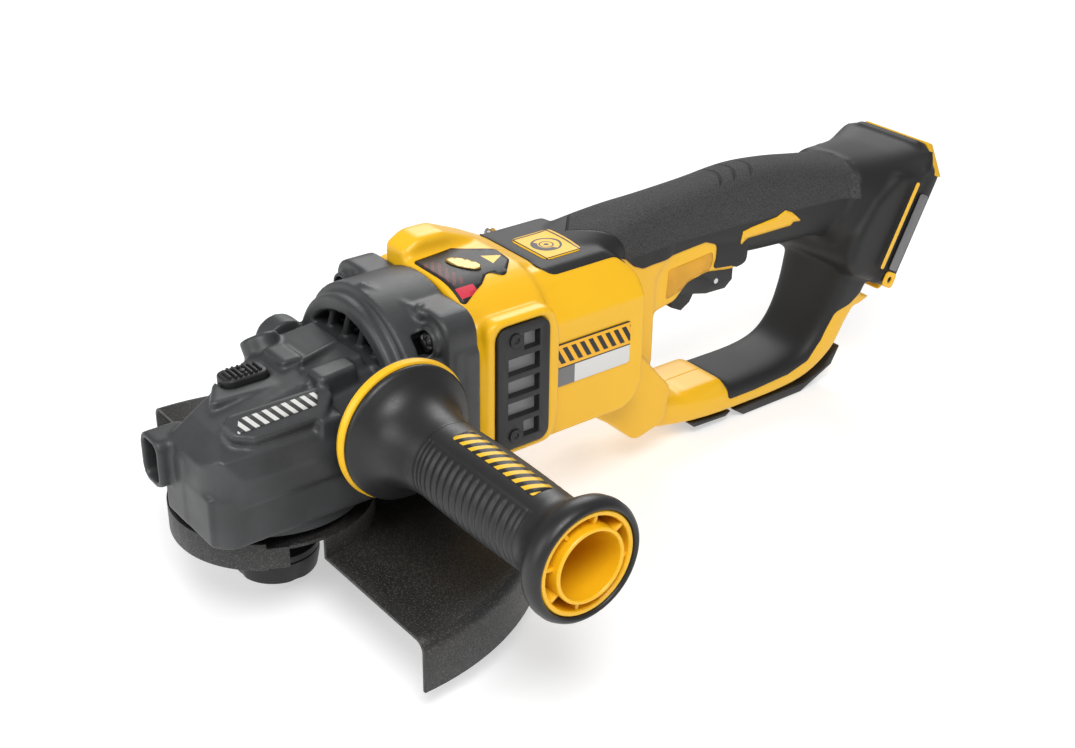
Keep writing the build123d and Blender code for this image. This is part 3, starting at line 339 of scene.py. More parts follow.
def casting(name, solids, cutters=(), late=(), voxel=1.0, passes=4):
    """Fuses solids, cuts the hollows, adds what stands inside them and rounds it all."""
    piece = remesh(put(name, joined(solids), 1.0), voxel)
    for cutter in cutters:
        combine(piece, put("cutter", cutter, 1.0), "DIFFERENCE")
    if late:
        extra = put("late", joined(late), 1.0)
        bm = bmesh.new()
        bm.from_mesh(piece.data)
        bm.from_mesh(extra.data)
        bm.to_mesh(piece.data)
        bm.free()
        bpy.data.objects.remove(extra)
    soften(remesh(piece, voxel), passes)
    return piece


def shaded(piece):
    """Smooth shading over the whole piece."""
    for face in piece.data.polygons:
        face.use_smooth = True
    return piece


def to_metres(piece):
    """Ends the work in millimetres on a piece."""
    piece.data.transform(Matrix.Scale(MM, 4))
    return piece


def crisp(piece, width=0.4, segments=2, angle=30):
    """A live bevel with smooth shading, for pieces with clean edges."""
    edge = shaded(piece).modifiers.new("edges", "BEVEL")
    edge.width = width * MM
    edge.segments = segments
    edge.limit_method = "ANGLE"
    edge.angle_limit = radians(angle)
    edge.harden_normals = True
    return piece


def refined(node, width=0.4, segments=2, name=None):
    """A copy of a frame node, merged and with its edges rounded, that stands for it."""
    bm = bmesh.new()
    bm.from_mesh(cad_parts[node].data)
    bmesh.ops.remove_doubles(bm, verts=bm.verts, dist=1e-6)
    bmesh.ops.dissolve_limit(bm, angle_limit=radians(0.6), verts=bm.verts, edges=bm.edges)
    piece = crisp(put(name or node + "_finished", bm, 1.0), width, segments)
    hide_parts(node)
    return piece


LABEL_THICKNESS = 0.5
LABEL_REACH = 60          # how far above a label's plane its rays start


def laid(name, outline, surface, direction, lift=0.3, step=2.5, origin=(0, 0, 0),
         across=(1, 0, 0), along=(0, 1, 0), deepest=9.0):
    """A thin label: an outline cut into small faces and dropped along a direction.

    Points that miss the surface, or land further from the usual depth than deepest, go.
    """
    bm = bmesh.new()
    bm.faces.new([bm.verts.new((a, b, 0)) for a, b in outline])
    for axis in (0, 1):
        low = min(p[axis] for p in outline)
        high = max(p[axis] for p in outline)
        normal = Vector((1, 0, 0)) if axis == 0 else Vector((0, 1, 0))
        for k in range(1, int((high - low) / step) + 1):
            bmesh.ops.bisect_plane(bm, geom=bm.verts[:] + bm.edges[:] + bm.faces[:], dist=1e-4,
                                   plane_co=normal * (low + k * step), plane_no=normal)
    seated(bm, Vector(origin), across, along)
    direction = Vector(direction).normalized()
    tree = BVHTree.FromPolygons([v.co for v in surface.data.vertices],
                                [p.vertices for p in surface.data.polygons])
    hits = {v: tree.ray_cast(v.co - direction * LABEL_REACH, direction)[3] for v in bm.verts}
    found = sorted(depth for depth in hits.values() if depth is not None)
    usual = found[len(found) // 2]
    missed = []
    for v, depth in hits.items():
        if depth is None or abs(depth - usual) > deepest:
            missed.append(v)
        else:
            v.co += direction * (depth - LABEL_REACH - lift)
    bmesh.ops.delete(bm, geom=missed, context="VERTS")
    bmesh.ops.recalc_face_normals(bm, faces=bm.faces)
    if sum((f.normal for f in bm.faces), Vector()).dot(direction) > 0:
        bmesh.ops.reverse_faces(bm, faces=bm.faces)
    for face in bm.faces:
        face.smooth = True
    piece = put(name, bm)
    body = piece.modifiers.new("body", "SOLIDIFY")
    body.thickness = LABEL_THICKNESS * MM
    body.offset = -1
    return piece


def finish(piece, finish_name, body="machine"):
    """Gives a piece its slot, its material and the body it rides on."""
    piece.data.materials.clear()
    piece.data.materials.append(FINISHES[finish_name])
    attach(piece, body)
    return piece


# ---- finishes -----------------------------------------------------------------------------------
class Signal:
    """A node socket that can be used in sums; each sum adds its Math node."""

    def __init__(self, tree, socket):
        self.tree = tree
        self.socket = socket

    def sum(self, operation, *values):
        node = self.tree.nodes.new("ShaderNodeMath")
        node.operation = operation
        for slot, value in zip(node.inputs, values):
            plug(self.tree, slot, value)
        return Signal(self.tree, node.outputs[0])

    def __add__(self, other):
        return self.sum("ADD", self, other)

    __radd__ = __add__

    def __sub__(self, other):
        return self.sum("SUBTRACT", self, other)

    def __rsub__(self, other):
        return self.sum("SUBTRACT", other, self)

    def __mul__(self, other):
        return self.sum("MULTIPLY", self, other)

    __rmul__ = __mul__

    def __abs__(self):
        return self.sum("ABSOLUTE", self)

    def __pow__(self, other):
        return self.sum("POWER", self, other)

    def least(self, other):
        return self.sum("MINIMUM", self, other)

    def most(self, other):
        return self.sum("MAXIMUM", self, other)

    def sine(self):
        return self.sum("SINE", self)

    def fraction(self):
        return self.sum("FRACT", self)

    def within(self, half, middle=0.0, edge=0.0002):
        """1 no further than half from middle, with a soft edge."""
        return (abs(self - middle) * -1 + half).step(0, edge)

    def step(self, start, end):
        """0 below start, 1 above end, and a smooth rise between them."""
        node = self.tree.nodes.new("ShaderNodeMapRange")
        node.interpolation_type = "SMOOTHSTEP"
        plug(self.tree, node.inputs["Value"], self)
        node.inputs["From Min"].default_value = start
        node.inputs["From Max"].default_value = end
        return Signal(self.tree, node.outputs["Result"])


def plug(tree, socket, value):
    """Links a signal to a socket, or sets the socket to a plain value."""
    if isinstance(value, Signal):
        tree.links.new(value.socket, socket)
    else:
        socket.default_value = value


class Finish:
    """A material with one Principled shader and whatever feeds it."""

    def __init__(self, name, color, roughness, metallic=0.0, **constants):
        self.material = bpy.data.materials.new(name)
        self.material.use_nodes = True
        self.tree = self.material.node_tree
        self.shader = self.tree.nodes["Principled BSDF"]
        self.set("Base Color", (*color, 1))
        self.set("Roughness", roughness)
        self.set("Metallic", metallic)
        for key, value in constants.items():
            self.set(key.replace("_", " ").title().replace("Ior", "IOR"), value)

    def set(self, socket, value):
        plug(self.tree, self.shader.inputs[socket], value)

    def node(self, kind, output=0, settings=(), **inputs):
        made = self.tree.nodes.new(kind)
        for key, value in dict(settings).items():
            setattr(made, key, value)
        for key, value in inputs.items():
            plug(self.tree, made.inputs[key.replace("_", " ")], value)
        return Signal(self.tree, made.outputs[output])

    def place(self):
        return self.node("ShaderNodeTexCoord", "Object")

    def xyz(self):
        split = self.node("ShaderNodeSeparateXYZ", "X", Vector=self.place())
        return [Signal(self.tree, o) for o in split.socket.node.outputs]

    def noise(self, scale, detail=3.0):
        return self.node("ShaderNodeTexNoise", "Fac", Vector=self.place(), Scale=scale,
                         Detail=detail)

    def cells(self, scale):
        return self.node("ShaderNodeTexVoronoi", "Distance", Vector=self.place(), Scale=scale)

    def mix(self, share, first, second):
        node = self.tree.nodes.new("ShaderNodeMix")
        node.data_type = "RGBA"
        plug(self.tree, node.inputs[0], share)
        for socket, value in ((node.inputs[6], first), (node.inputs[7], second)):
            plug(self.tree, socket, (*value, 1) if isinstance(value, tuple) else value)
        return Signal(self.tree, node.outputs[2])

    def bump(self, height, depth, strength=1.0):
        self.set("Normal", self.node("ShaderNodeBump", "Normal", Height=height, Distance=depth,
                                     Strength=strength))

    def painted_edge_highlight(self, amount=0.06):
        """1 on outward edges, where a painted highlight lightens them."""
        return self.node("ShaderNodeNewGeometry", "Pointiness").step(0.5 + amount / 2, 0.5 + amount)


FINISHES = {}


def cast_finish(colors):
    grey = Finish("cast_grey", tuple(colors.casting), 0.5, specular_ior_level=0.5)
    grain = grey.noise(1500, 2)
    patches = grey.noise(45, 4)
    base = tuple(colors.casting)
    light = tuple(c * 1.35 for c in base)
    dark = tuple(c * 0.82 for c in base)
    shade = grey.mix(patches.step(0.35, 0.7), dark, light)
    grey.set("Base Color", grey.mix(grain.step(0.3, 0.75) * 0.35, shade, light))
    grey.set("Roughness", 0.44 + grain * 0.14 - patches * 0.08)
    grey.bump(grain, 0.00005, 0.5)
    return grey.material


def yellow_finish(colors):
    plastic = Finish("yellow_moulding", tuple(colors.housing), 0.33, specular_ior_level=0.5,
                     coat_roughness=0.2)
    base = tuple(colors.housing)
    deep = (base[0] * 0.95, base[1] * 0.92, base[2])
    haze = plastic.noise(30, 4)
    skin = plastic.noise(1300, 2)
    plastic.set("Base Color", plastic.mix(haze.step(0.3, 0.75) * 0.5, base, deep))
    plastic.set("Roughness", 0.3 + skin * 0.08 + haze * 0.06)
    plastic.bump(skin, 0.00002, 0.35)
    return plastic.material


def grip_finish(colors):
    """Smooth black rubber with a coarse grained patch over the top of the rear grip."""
    rubber = Finish("grip_rubber", tuple(colors.rubber), 0.6, specular_ior_level=0.4)
    x, y, z = rubber.xyz()
    wave = rubber.cells(1500)
    fine = rubber.noise(2600, 2)
    start = x + abs(y) * -0.9
    front = start.step(0.1708, 0.1722)
    rear = (0.3615 - x - abs(y) * 0.15).step(-0.0006, 0.0006)
    lower = (z - 0.1015 + (x - 0.19) * 0.02).step(-0.0006, 0.0006)
    patch = front * rear * lower
    lines = 1 - abs((start - 0.1715) * 900).least(1)
    ridges = 0.0
    for middle in (0.270, 0.280, 0.292):
        bend = abs(x + abs(y) * abs(y) * 40 - middle) * 750
        ridges = (1 - bend.least(1)) + ridges
    on_top = (abs(y) * -1 + 0.013).step(0, 0.003) * lower
    groove = ridges * on_top
    base = tuple(colors.rubber)
    light = tuple(c * 4.2 for c in base)
    rubber.set("Base Color", rubber.mix(patch * wave.step(0.1, 0.6), base, light))
    rubber.set("Roughness", 0.5 + patch * 0.22 + fine * 0.1)
    rubber.bump(patch * wave * 0.5 + fine * 0.05 - groove * 2.4 - lines * lower * 1.4, 0.0007, 1.0)
    return rubber.material


def plain_rubber(name, base, roughness=0.5, grain=1800, depth=0.00006):
    black = Finish(name, base, roughness, specular_ior_level=0.45)
    fine = black.noise(grain, 2)
    broad = black.noise(60, 3)
    light = tuple(c * 1.5 for c in base)
    black.set("Base Color", black.mix(broad.step(0.3, 0.8) * 0.6, base, light))
    black.set("Roughness", roughness - 0.06 + fine * 0.16)
    black.bump(fine, depth, 0.5)
    return black.material


def guard_finish():
    coat = Finish("speckled_powder_coat", (0.018, 0.017, 0.016), 0.42, specular_ior_level=0.6)
    specks = coat.cells(900)
    grain = coat.noise(1400, 3)
    # painted highlight: outward edges and bends are lightened towards pale grey
    edge = coat.painted_edge_highlight(0.2)
    warm = coat.mix(coat.noise(14, 2).step(0.45, 0.7) * 0.5, (0.008, 0.008, 0.008),
                    (0.02, 0.015, 0.011))
    speckled = coat.mix(grain.step(0.52, 0.66) * 0.8, warm, (0.075, 0.072, 0.068))
    # the pale grey on the edges is a painted highlight
    coat.set("Base Color", coat.mix(edge * 0.7, speckled, (0.22, 0.215, 0.21)))
    coat.set("Roughness", 0.36 + specks * 0.2 + grain * 0.12)
    coat.bump(grain * 0.7 + specks * 0.3, 0.00012, 0.6)
    return coat.material


def metal_finish(name, base, roughness, lines=(1, 1, 60), metallic=1.0):
    """Turned or ground metal: fine stretched noise gives the tool marks."""
    steel = Finish(name, base, roughness, metallic)
    stretch = steel.node("ShaderNodeMapping", "Vector", Vector=steel.place(),
                         Scale=Vector(lines) * 40)
    marks = steel.node("ShaderNodeTexNoise", "Fac", Vector=stretch, Scale=4.0, Detail=4.0)
    spots = steel.noise(90, 3)
    dark = tuple(c * 0.7 for c in base)
    steel.set("Base Color", steel.mix(spots.step(0.4, 0.8) * 0.5, base, dark))
    steel.set("Roughness", roughness - 0.06 + marks * 0.16)
    steel.bump(marks, 0.00003, 0.4)
    return steel.material


def mesh_finish():
    """Woven dust mesh: two families of fine wires."""
    wires = Finish("dust_mesh", (0.25, 0.25, 0.255), 0.5, 0.3)
    x, _, z = wires.xyz()
    weave = abs((x * 6000).sine()).most(abs((z * 6000).sine()))
    wires.set("Base Color", wires.mix(weave.step(0.35, 0.9), (0.1, 0.1, 0.102),
                                      (0.42, 0.42, 0.43)))
    wires.bump(weave, 0.0002, 0.8)
    return wires.material


def side_badge_finish():
    """A blank name bar over a plate that is part grey, part white; no lettering."""
    badge = Finish("side_badge", (0.6, 0.6, 0.6), 0.35)
    x, _, z = badge.xyz()
    low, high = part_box("side_badges")
    middle = low.z + (high.z - low.z) * 0.42
    upper = (z - middle).step(0, 0.0002)
    off_centre = abs(z - (middle + high.z) / 2)
    rails = off_centre.step(0.0058, 0.006)
    bar = off_centre.step(0.0042, 0.0044)
    share = (x - low.x - 0.015).step(0, 0.0002)
    slant = (x * 190 + z * 110).fraction().step(0.42, 0.5)
    plate = badge.mix(share, (0.16, 0.16, 0.165), (0.7, 0.69, 0.67))
    blocks = badge.mix(slant * (1 - bar), (0.9, 0.45, 0.01), (0.012, 0.011, 0.01))
    top = badge.mix(rails, blocks, (0.012, 0.011, 0.01))
    badge.set("Base Color", badge.mix(upper, plate, top))
    badge.set("Roughness", 0.3 + badge.noise(900, 2) * 0.12)
    return badge.material


def striped_finish(name, base, dark, pitch, roughness, metallic, axis=0):
    """Laminations or windings: fine dark lines at an even pitch."""
    stack = Finish(name, base, roughness, metallic)
    line = abs((stack.xyz()[axis] * (2 * pi / pitch)).sine())
    stack.set("Base Color", stack.mix(line.step(0.1, 0.5), dark, base))
    stack.bump(line, 0.0002, 0.6)
    return stack.material


def board_finish():
    board = Finish("circuit_board", (0.02, 0.16, 0.06), 0.4)
    tracks = board.node("ShaderNodeTexVoronoi", "Distance", {"distance": "MANHATTAN"},
                        Vector=board.place(), Scale=260.0)
    board.set("Base Color", board.mix(tracks.step(0.3, 0.36), (0.03, 0.22, 0.09),
                                      (0.012, 0.1, 0.04)))
    board.bump(tracks, 0.0001, 0.5)
    return board.material


def label_finish(name, ground, drawing, roughness=0.45):
    """A printed label: drawing is a function that returns the colour signal."""
    label = Finish(name, ground, roughness)
    label.set("Base Color", drawing(label))
    label.set("Roughness", roughness + label.noise(700, 2) * 0.1)
    return label.material


def warning_drawing(label):
    """A black label with a red bar and a small yellow triangle."""
    x, y, _ = label.xyz()
    red = x.within(0.005, 0.0925) * y.within(0.003, -0.0265)
    hatch = (x * 260 - y * 170).fraction().step(0.5, 0.58)
    field = x.within(0.004, 0.0915) * y.within(0.0125, -0.009)
    slopes = (0.0035 - abs(y + 0.009) - (x - 0.119) * 0.6).step(0, 0.0002)
    triangle = slopes * (x - 0.116).step(0, 0.0002)
    dark = label.mix(field * hatch * 0.55, (0.012, 0.011, 0.011), (0.2, 0.012, 0.02))
    return label.mix(triangle, label.mix(red, dark, (0.62, 0.03, 0.06)), (0.85, 0.6, 0.12))


def bar_drawing(axis, pitch, ground, ink):
    """Blank slanted bars, in place of lettering."""
    def drawing(label):
        x, y, _ = label.xyz()
        along, across = (x, y) if axis == 0 else (y, x)
        bars = (along * pitch + across * pitch * 0.5).fraction().step(0.48, 0.54)
        return label.mix(bars, ground, ink)
    return drawing


def icon_drawing(label):
    """A grinding disc under its guard, drawn as rings on yellow."""
    x, y, _ = label.xyz()
    ax, ay = x - ICON_X * MM, y - ICON_Y * MM
    far = (ax * ax + ay * ay) ** 0.5
    ring = far.within(0.0007, 0.0072)
    hub = far.within(0.0005, 0.0034)
    dot = (0.0014 - far).step(0, 0.0002)
    border = abs(ax).most(abs(ay) - 0.0035).within(0.0005, 0.0101, 0.0001)
    guard = far.within(0.0014, 0.0056) * (ax * -1 - ay * 0.5).step(0.001, 0.0014)
    ink = ring.most(hub).most(dot).most(border).most(guard)
    return label.mix(ink, (0.9, 0.5, 0.01), (0.012, 0.011, 0.01))


def make_finishes(colors):
    """Every material, by the name that the pieces use."""
    FINISHES.update({
        "cast": cast_finish(colors),
        "yellow": yellow_finish(colors),
        "yellow_grain": plain_rubber("yellow_grain", (0.62, 0.3, 0.012), 0.5, 1100, 0.0003),
        "grip": grip_finish(colors),
        "handle": plain_rubber("handle_rubber", (0.011, 0.011, 0.0115), 0.4, 900, 0.00003),
        "plastic": plain_rubber("black_plastic", (0.012, 0.012, 0.0125), 0.45, 1600, 0.00004),
        "guard": guard_finish(),
        "black_steel": metal_finish("black_oxide", (0.03, 0.03, 0.031), 0.4, (1, 1, 40), 0.6),
        "steel": metal_finish("machined_steel", (0.6, 0.6, 0.61), 0.28),
        "bearing": metal_finish("bearing_steel", (0.7, 0.7, 0.71), 0.2),
        "gear": metal_finish("gear_steel", (0.42, 0.42, 0.44), 0.34),
        "magnet": metal_finish("nickel_plate", (0.66, 0.64, 0.6), 0.18),
        "contact": metal_finish("contact_metal", (0.75, 0.6, 0.35), 0.3),
        "lamination": striped_finish("laminations", (0.34, 0.34, 0.36), (0.1, 0.1, 0.11), 0.0011,
                                     0.4, 0.8),
        "copper": striped_finish("windings", (0.7, 0.32, 0.14), (0.3, 0.1, 0.04), 0.0011,
                                 0.3, 0.8, 1),
        "board": board_finish(),
        "mesh": mesh_finish(),
        "badge": side_badge_finish(),
        "grey_plate": metal_finish("grey_plate", (0.17, 0.17, 0.175), 0.42, (60, 1, 1), 0.4),
        "gold": metal_finish("gold_lens", (0.42, 0.29, 0.09), 0.3, (60, 1, 1), 0.6),
        "warning": label_finish("warning_label", (0.012, 0.011, 0.011), warning_drawing),
        "case_badge": label_finish("case_badge", (0.6, 0.6, 0.6),
                                   bar_drawing(0, 210, (0.035, 0.035, 0.036), (0.62, 0.62, 0.6))),
        "handle_badge": label_finish("handle_badge", (0.6, 0.4, 0.02),
                                     bar_drawing(1, 170, (0.012, 0.012, 0.012), (0.8, 0.48, 0.02))),
        "icon": label_finish("disc_icon", (0.9, 0.5, 0.01), icon_drawing),
    })


CAD_FINISHES = {
    "cast": ("bearing_retainer",),
    "black_steel": ("retainer_screws", "inner_flange"),
    "bearing": ("lower_spindle_bearing", "upper_spindle_bearing", "front_motor_bearing",
                "rear_motor_bearing"),
    "plastic": ("fan_baffle", "switch_module", "controller_module", "terminal_block", "fan"),
    "lamination": ("stator_core", "rotor_core"),
    "copper": ("stator_windings",),
    "board": ("position_board",),
    "steel": ("spindle", "motor_shaft", "side_handle_stud", "trigger_pin", "lock_lever_pin",
              "spindle_lock_pin", "spindle_lock_spring", "trigger_spring", "housing_screws"),
    "gear": ("crown_gear", "pinion"),
    "magnet": ("rotor_magnets",),
    "contact": ("contact_blades",),
    "mesh": ("vent_meshes",),
}


# ---- sizes and colours a user may change --------------------------------------------------------
class GrinderColors(bpy.types.PropertyGroup):
    housing: bpy.props.FloatVectorProperty(
        name="Housing", description="Colour of the moulded motor housing", subtype="COLOR",
        default=(0.9, 0.5, 0.008))
    casting: bpy.props.FloatVectorProperty(
        name="Gear case", description="Colour of the cast gear case", subtype="COLOR",
        default=(0.033, 0.034, 0.0355))
    rubber: bpy.props.FloatVectorProperty(
        name="Rubber", description="Colour of the grip rubber", subtype="COLOR",
        default=(0.013, 0.013, 0.0135))


class GrinderSizes(bpy.types.PropertyGroup):
    voxel: bpy.props.FloatProperty(
        name="Casting detail", description="Size in mm of the smallest cast detail",
        default=1.0, min=0.6, max=3.0)
    overmould: bpy.props.FloatProperty(
        name="Overmould step", description="How far in mm the rubber stands proud of the shell",
        default=0.5, min=0.1, max=1.5)
    ribs: bpy.props.IntProperty(
        name="Handle ribs", description="Ribs along each side of the side handle",
        default=13, min=4, max=24)


def sizes():
    return bpy.context.scene.grinder_sizes


# ---- gear case ----------------------------------------------------------------------------------
def gear_case_solids():
    """The head, the bell behind it and everything cast onto them."""
    front = rounded([(-49, -46.6), (62, -46.6), (62, 46.6), (-27, 46.6), (-49, 1)],
                    [10, 0, 0, 12, 10])
    lower = prism(front, 37, 61, "Z")
    carve(lower, *FAR_CORNER)
    hood_outline = rounded([(-50, -48), (62, -48), (62, 48), (-28, 48), (-50, 2)],
                           [17, 0, 0, 12, 10], 8)
    hood = prism(hood_outline, 57, 99, "Z")
    carve(hood, *FAR_CORNER)
    brow = [(-50, 75.5), (-40, 84.5), (-12, 89), (62, 98)]
    for start, end in zip(brow, brow[1:]):
        carve_line(hood, "Y", start, end)
    for start, end in (((-48, 69), (-44.5, 79)), ((-44.5, 79), (-25, 88.5))):
        carve_line(hood, "X", start, end)
        carve_line(hood, "X", (-end[0], end[1]), (-start[0], start[1]))
    ridge = prism([(-48, 60), (-48, 76.5), (-38, 83), (-12, 88.5), (36, 95.4), (60, 97), (60, 60)],
                  -25, 25, "Y")
    carve_line(ridge, "X", (-25, 87), (-19.5, 98.5))
    carve_line(ridge, "X", (19.5, 98.5), (25, 87))
    carve(ridge, *FAR_CORNER)
    pad = prism(rounded([(-38, 6), (-33, 2.4), (15, 2.4), (15, 9), (6, 18.6), (-28, 18.6),
                         (-36, 14.5)], 2.5), -6, 2.8, "Z", 0.9, 1)
    seated(pad, PAD_ORIGIN, (1, 0, 0), PAD_SLOPE)
    seat = prism(rounded([(-33.5, -13.5), (0, -16), (9, -8), (9, 8), (0, 12), (-12, 12), (-24, 2)],
                         [2, 7, 5, 5, 6, 3, 2]), 70, 90.6, "Z", 1.1, 1)
    bell = rod((49.5, 0, MOTOR_Z), (JOINT_X, 0, MOTOR_Z), 49, 0.8, 96)
    collar = rod((42.5, 0, MOTOR_Z), (53, 0, MOTOR_Z), 45, 1.8, 96)
    carve(collar, (0, 0, 78), (0, 0, -1))
    lugs = prism(rectangle((0, MOTOR_Z), 94, 90, 11), 67, JOINT_X, "X", 1.0)
    for solid in (bell, lugs):
        carve(solid, (0, 0, 117), (0, 0, 1))
        carve(solid, (0, 0, 20.5), (0, 0, -1))
    solids = [lower, hood, ridge, pad, seat, bell, collar, lugs]
    # facet and pillars of the front left corner, under the hood
    solids += [box((-50.4, -41, 38), (-40, -18, 62), 1.0), box((-50.8, -19, 38), (-38, 1, 72), 1.2)]
    # pads in front of the air outlet
    solids += [
        prism(rounded([(11, -32), (32, -29), (32, -17.5), (11, -19)], 2.5), 84, 96.2, "Z", 1.4, 1),
        prism([(12, -13), (13, -9.5), (37, -2), (37, -6)], 86, 97, "Z", 0.9),
        box((6.5, -6.5, 84), (17.5, 12, 95.2), 1.2), box((2, -46, 70), (14, -36, 84.5), 1.5),
    ]
    # flange screw bosses and the stepped plates beside the near one
    solids += [rod((62.5, y, z), (72, y, z), 7.6, 0.6) for y, z in SCREWS]
    for (x, y, z), (far_y, far_z), edge in (
        ((71, -48, 76), (-40, 97), 0.9), ((76, -49, 52), (-42, 95), 0.9),
        ((71, 40, 76), (48, 97), 0.9), ((72, -44, 86), (-20, 107), 0.9),
        ((72, 20, 86), (44, 107), 0.9), ((71, -30, 97), (-6, 112.5), 1.0),
    ):
        solids.append(box((x, y, z), (JOINT_X, far_y, far_z), edge))
    # bosses for the side handle, the slanted rib over the bell and the nose socket
    solids += [
        rod((HANDLE_X, -40, HANDLE_Z), (HANDLE_X, -56, HANDLE_Z), 18, 1.2),
        rod((HANDLE_X, 40, HANDLE_Z), (HANDLE_X, 52, HANDLE_Z), 12, 1.0),
        rod(BOSS_FOOT, BOSS_FOOT + BOSS_AXIS * BOSS_LENGTH, 9.0, 1.2),
        rod((53, 3, 115.5), (67.5, -26, 108.5), 3.4, 0.8),
        rod((66, -23, 106), (68.5, -28, 112), 4.2, 1.0),
        prism(rectangle((-1, 65), 18, 24, 5.5), -57, -40, "X", 0.5),
    ]
    return solids


def gear_case_cutters():
    """Room for the guard's hub, fan and gears, the air outlet and every hole."""
    mouth = rod((39, 0, MOTOR_Z), (62, 0, MOTOR_Z), 37.5, 0, 96)
    carve(mouth, (0, 0, 90.5), (0, 0, -1))
    cutters = [
        rod((0, 0, 10), (0, 0, 32.5), HUB_R + 2, 0, 128),
        rod((57, 0, MOTOR_Z), (90, 0, MOTOR_Z), 43.5, 0, 96),
        mouth,
        rod((0, 0, 30), (0, 0, 56), 34, 0, 96),
        prism(rounded([(-21.5, -7), (1.5, -7), (1.5, 7), (-21.5, 7)], 4.5), 82.5, 99, "Z"),
        prism(rectangle((-1, 65), 13, 19, 3.5), -60, -43.5, "X"),
        rod((HANDLE_X, -42, HANDLE_Z), (HANDLE_X, -60, HANDLE_Z), 7),
        rod((HANDLE_X, 41, HANDLE_Z), (HANDLE_X, 60, HANDLE_Z), 6),
        rod(BOSS_FOOT + BOSS_AXIS * 12, BOSS_FOOT + BOSS_AXIS * 32, 5.6),
    ]
    return cutters + [rod((57, y, z), (67, y, z), 5.6) for y, z in SCREWS]


def outlet_ribs():
    """Four leaning ribs across the air outlet."""
    ribs = []
    for y in (-21, -8, 5, 18):
        rib = box((-2.5, -1.8, -17), (2.5, 1.8, 17), 0.6)
        bmesh.ops.rotate(rib, verts=rib.verts, cent=(0, 0, 0),
                         matrix=Matrix.Rotation(radians(22), 3, "X"))
        bmesh.ops.translate(rib, verts=rib.verts, vec=(49, y, 99))
        carve(rib, (0, 0, 112 - abs(y) * 0.45), (0, 0, 1))
        ribs.append(rib)
    return ribs


class GRINDER_OT_gear_case(bpy.types.Operator):
    """Casts the gear case with its pads, bosses, air outlet and nose socket"""
    bl_idname = "grinder.gear_case"
    bl_label = "Gear case"

    def execute(self, context):
        case = casting("gear_case_casting", gear_case_solids(), gear_case_cutters(), outlet_ribs(),
                       sizes().voxel * 0.85, 2)
        slope = PAD_SLOPE.normalized()
        bar = rounded([(-30, 6.6), (9, 5.2), (5, 12), (-34, 13.6)], 0.6, 2)
        plate = laid("case_badge", bar, case, slope.cross(Vector((-1, 0, 0))), 0.3, 2.5,
                     origin=PAD_ORIGIN, along=slope)
        finish(plate, "case_badge")
        finish(to_metres(case), "cast")
        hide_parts("gear_case")
        return {"FINISHED"}


def flange_screw():
    """A screw along +Z with six notches round its head and a six-sided drive."""
    head = turned([(0, 0), (0, 5.2), (3.2, 5.2), (4.2, 4.6), (4.7, 3.4), (4.7, 0)], steps=48)
    for turn in range(6):
        angle = turn * pi / 3
        notch = [v for v in head.verts
                 if v.co.z > 4 and abs(v.co.xy.length) > 3 and
                 abs((atan2(v.co.y, v.co.x) - angle + pi) % (2 * pi) - pi) < 0.16]
        for v in notch:
            v.co.z -= 0.9
    drive = rod((0, 0, 5.0), (0, 0, 5.6), 2.5, 0.2, 6)
    shank = rod((0, 0, -28), (0, 0, 0.5), 2.4)
    return joined([head, drive, shank])


class GRINDER_OT_head_fittings(bpy.types.Operator):
    """Makes the flange screws with their recessed drives and the ribbed spindle lock button"""
    bl_idname = "grinder.head_fittings"
    bl_label = "Screws and lock button"

    def execute(self, context):
        screws = [seated(flange_screw(), Vector((67, y, z)), (0, 1, 0), (0, 0, -1))
                  for y, z in SCREWS]
        piece = finish(crisp(put("flange_screws", joined(screws)), 0.15),
                       "black_steel")
        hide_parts("case_screws")
        middle = -10.0
        cap = prism(rectangle((middle, 0), 21.6, 12.8, 4.2), 82.7, 93.4, "Z", 1.1, 3)
        solids = [cap]
        for k in range(7):
            x = middle - 7.5 + k * 2.5
            if k == 3:
                solids += [box((x - 0.6, -4.8, 93), (x + 0.6, -2.4, 94.6), 0.4),
                           box((x - 0.6, 2.4, 93), (x + 0.6, 4.8, 94.6), 0.4),
                           rod((x, 0, 93), (x, 0, 94.3), 1.4, 0.3)]
            else:
                half = 4.9 if 0 < k < 6 else 4.0
                solids.append(box((x - 0.6, -half, 93), (x + 0.6, half, 94.6), 0.4))
        button = finish(crisp(put("lock_button_cap", joined(solids)), 0.1),
                        "plastic", "lock_button")
        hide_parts("spindle_lock_button")
        return {"FINISHED"}


# ---- motor housing, grip and loop ---------------------------------------------------------------
GRIP = [  # x, lowest and highest point and half width along the rear grip
    (146, 84, 109, 27), (164, 86, 113, 25.5), (182, 88, 117, 22.5), (203, 87.5, 120, 19.6),
    (225, 86, 121, 18.4), (255, 82, 122.6, 18.2), (285, 77, 124.6, 19), (312, 75, 122.4, 19.5),
    (338, 74, 118, 21), (354, 71, 115, 23.5), (370, 62, 112, 28), (384, 54, 108, 31),
]
LOOP = [  # inner point, outer point and half width round the hand hole
    (217, 104, 186, 104, 20), (217, 62, 184, 62, 20), (216.5, 40, 180, 40, 20),
    (219, 24, 186, 18, 20), (227, 13, 206, -2, 20), (242, 7, 233, -9.5, 20.5),
    (262, 4.5, 260, -12.8, 21), (290, 3.6, 292, -13.6, 21), (314, 4, 322, -13, 21),
    (331, 8, 341, -8.5, 21.5), (341.5, 19, 357, 2, 22), (348.5, 35, 366, 18, 23),
    (353, 52, 376, 34, 25), (357, 74, 392, 60, 27), (360, 92, 400, 84, 28),
]
FOOT_BACK = [  # depth behind the battery face, half width, lowest and highest point, squareness
    (8, 35.4, -13.4, 68.4, 9), (13, 34.6, -13.2, 66, 6), (19, 33, -12, 62, 4.6),
    (26, 31.6, -10, 57.5, 3.8), (34, 30.6, -7, 53.5, 3.4), (42, 29.6, -4, 50, 3.1),
    (52, 26, 4, 46, 3),
]


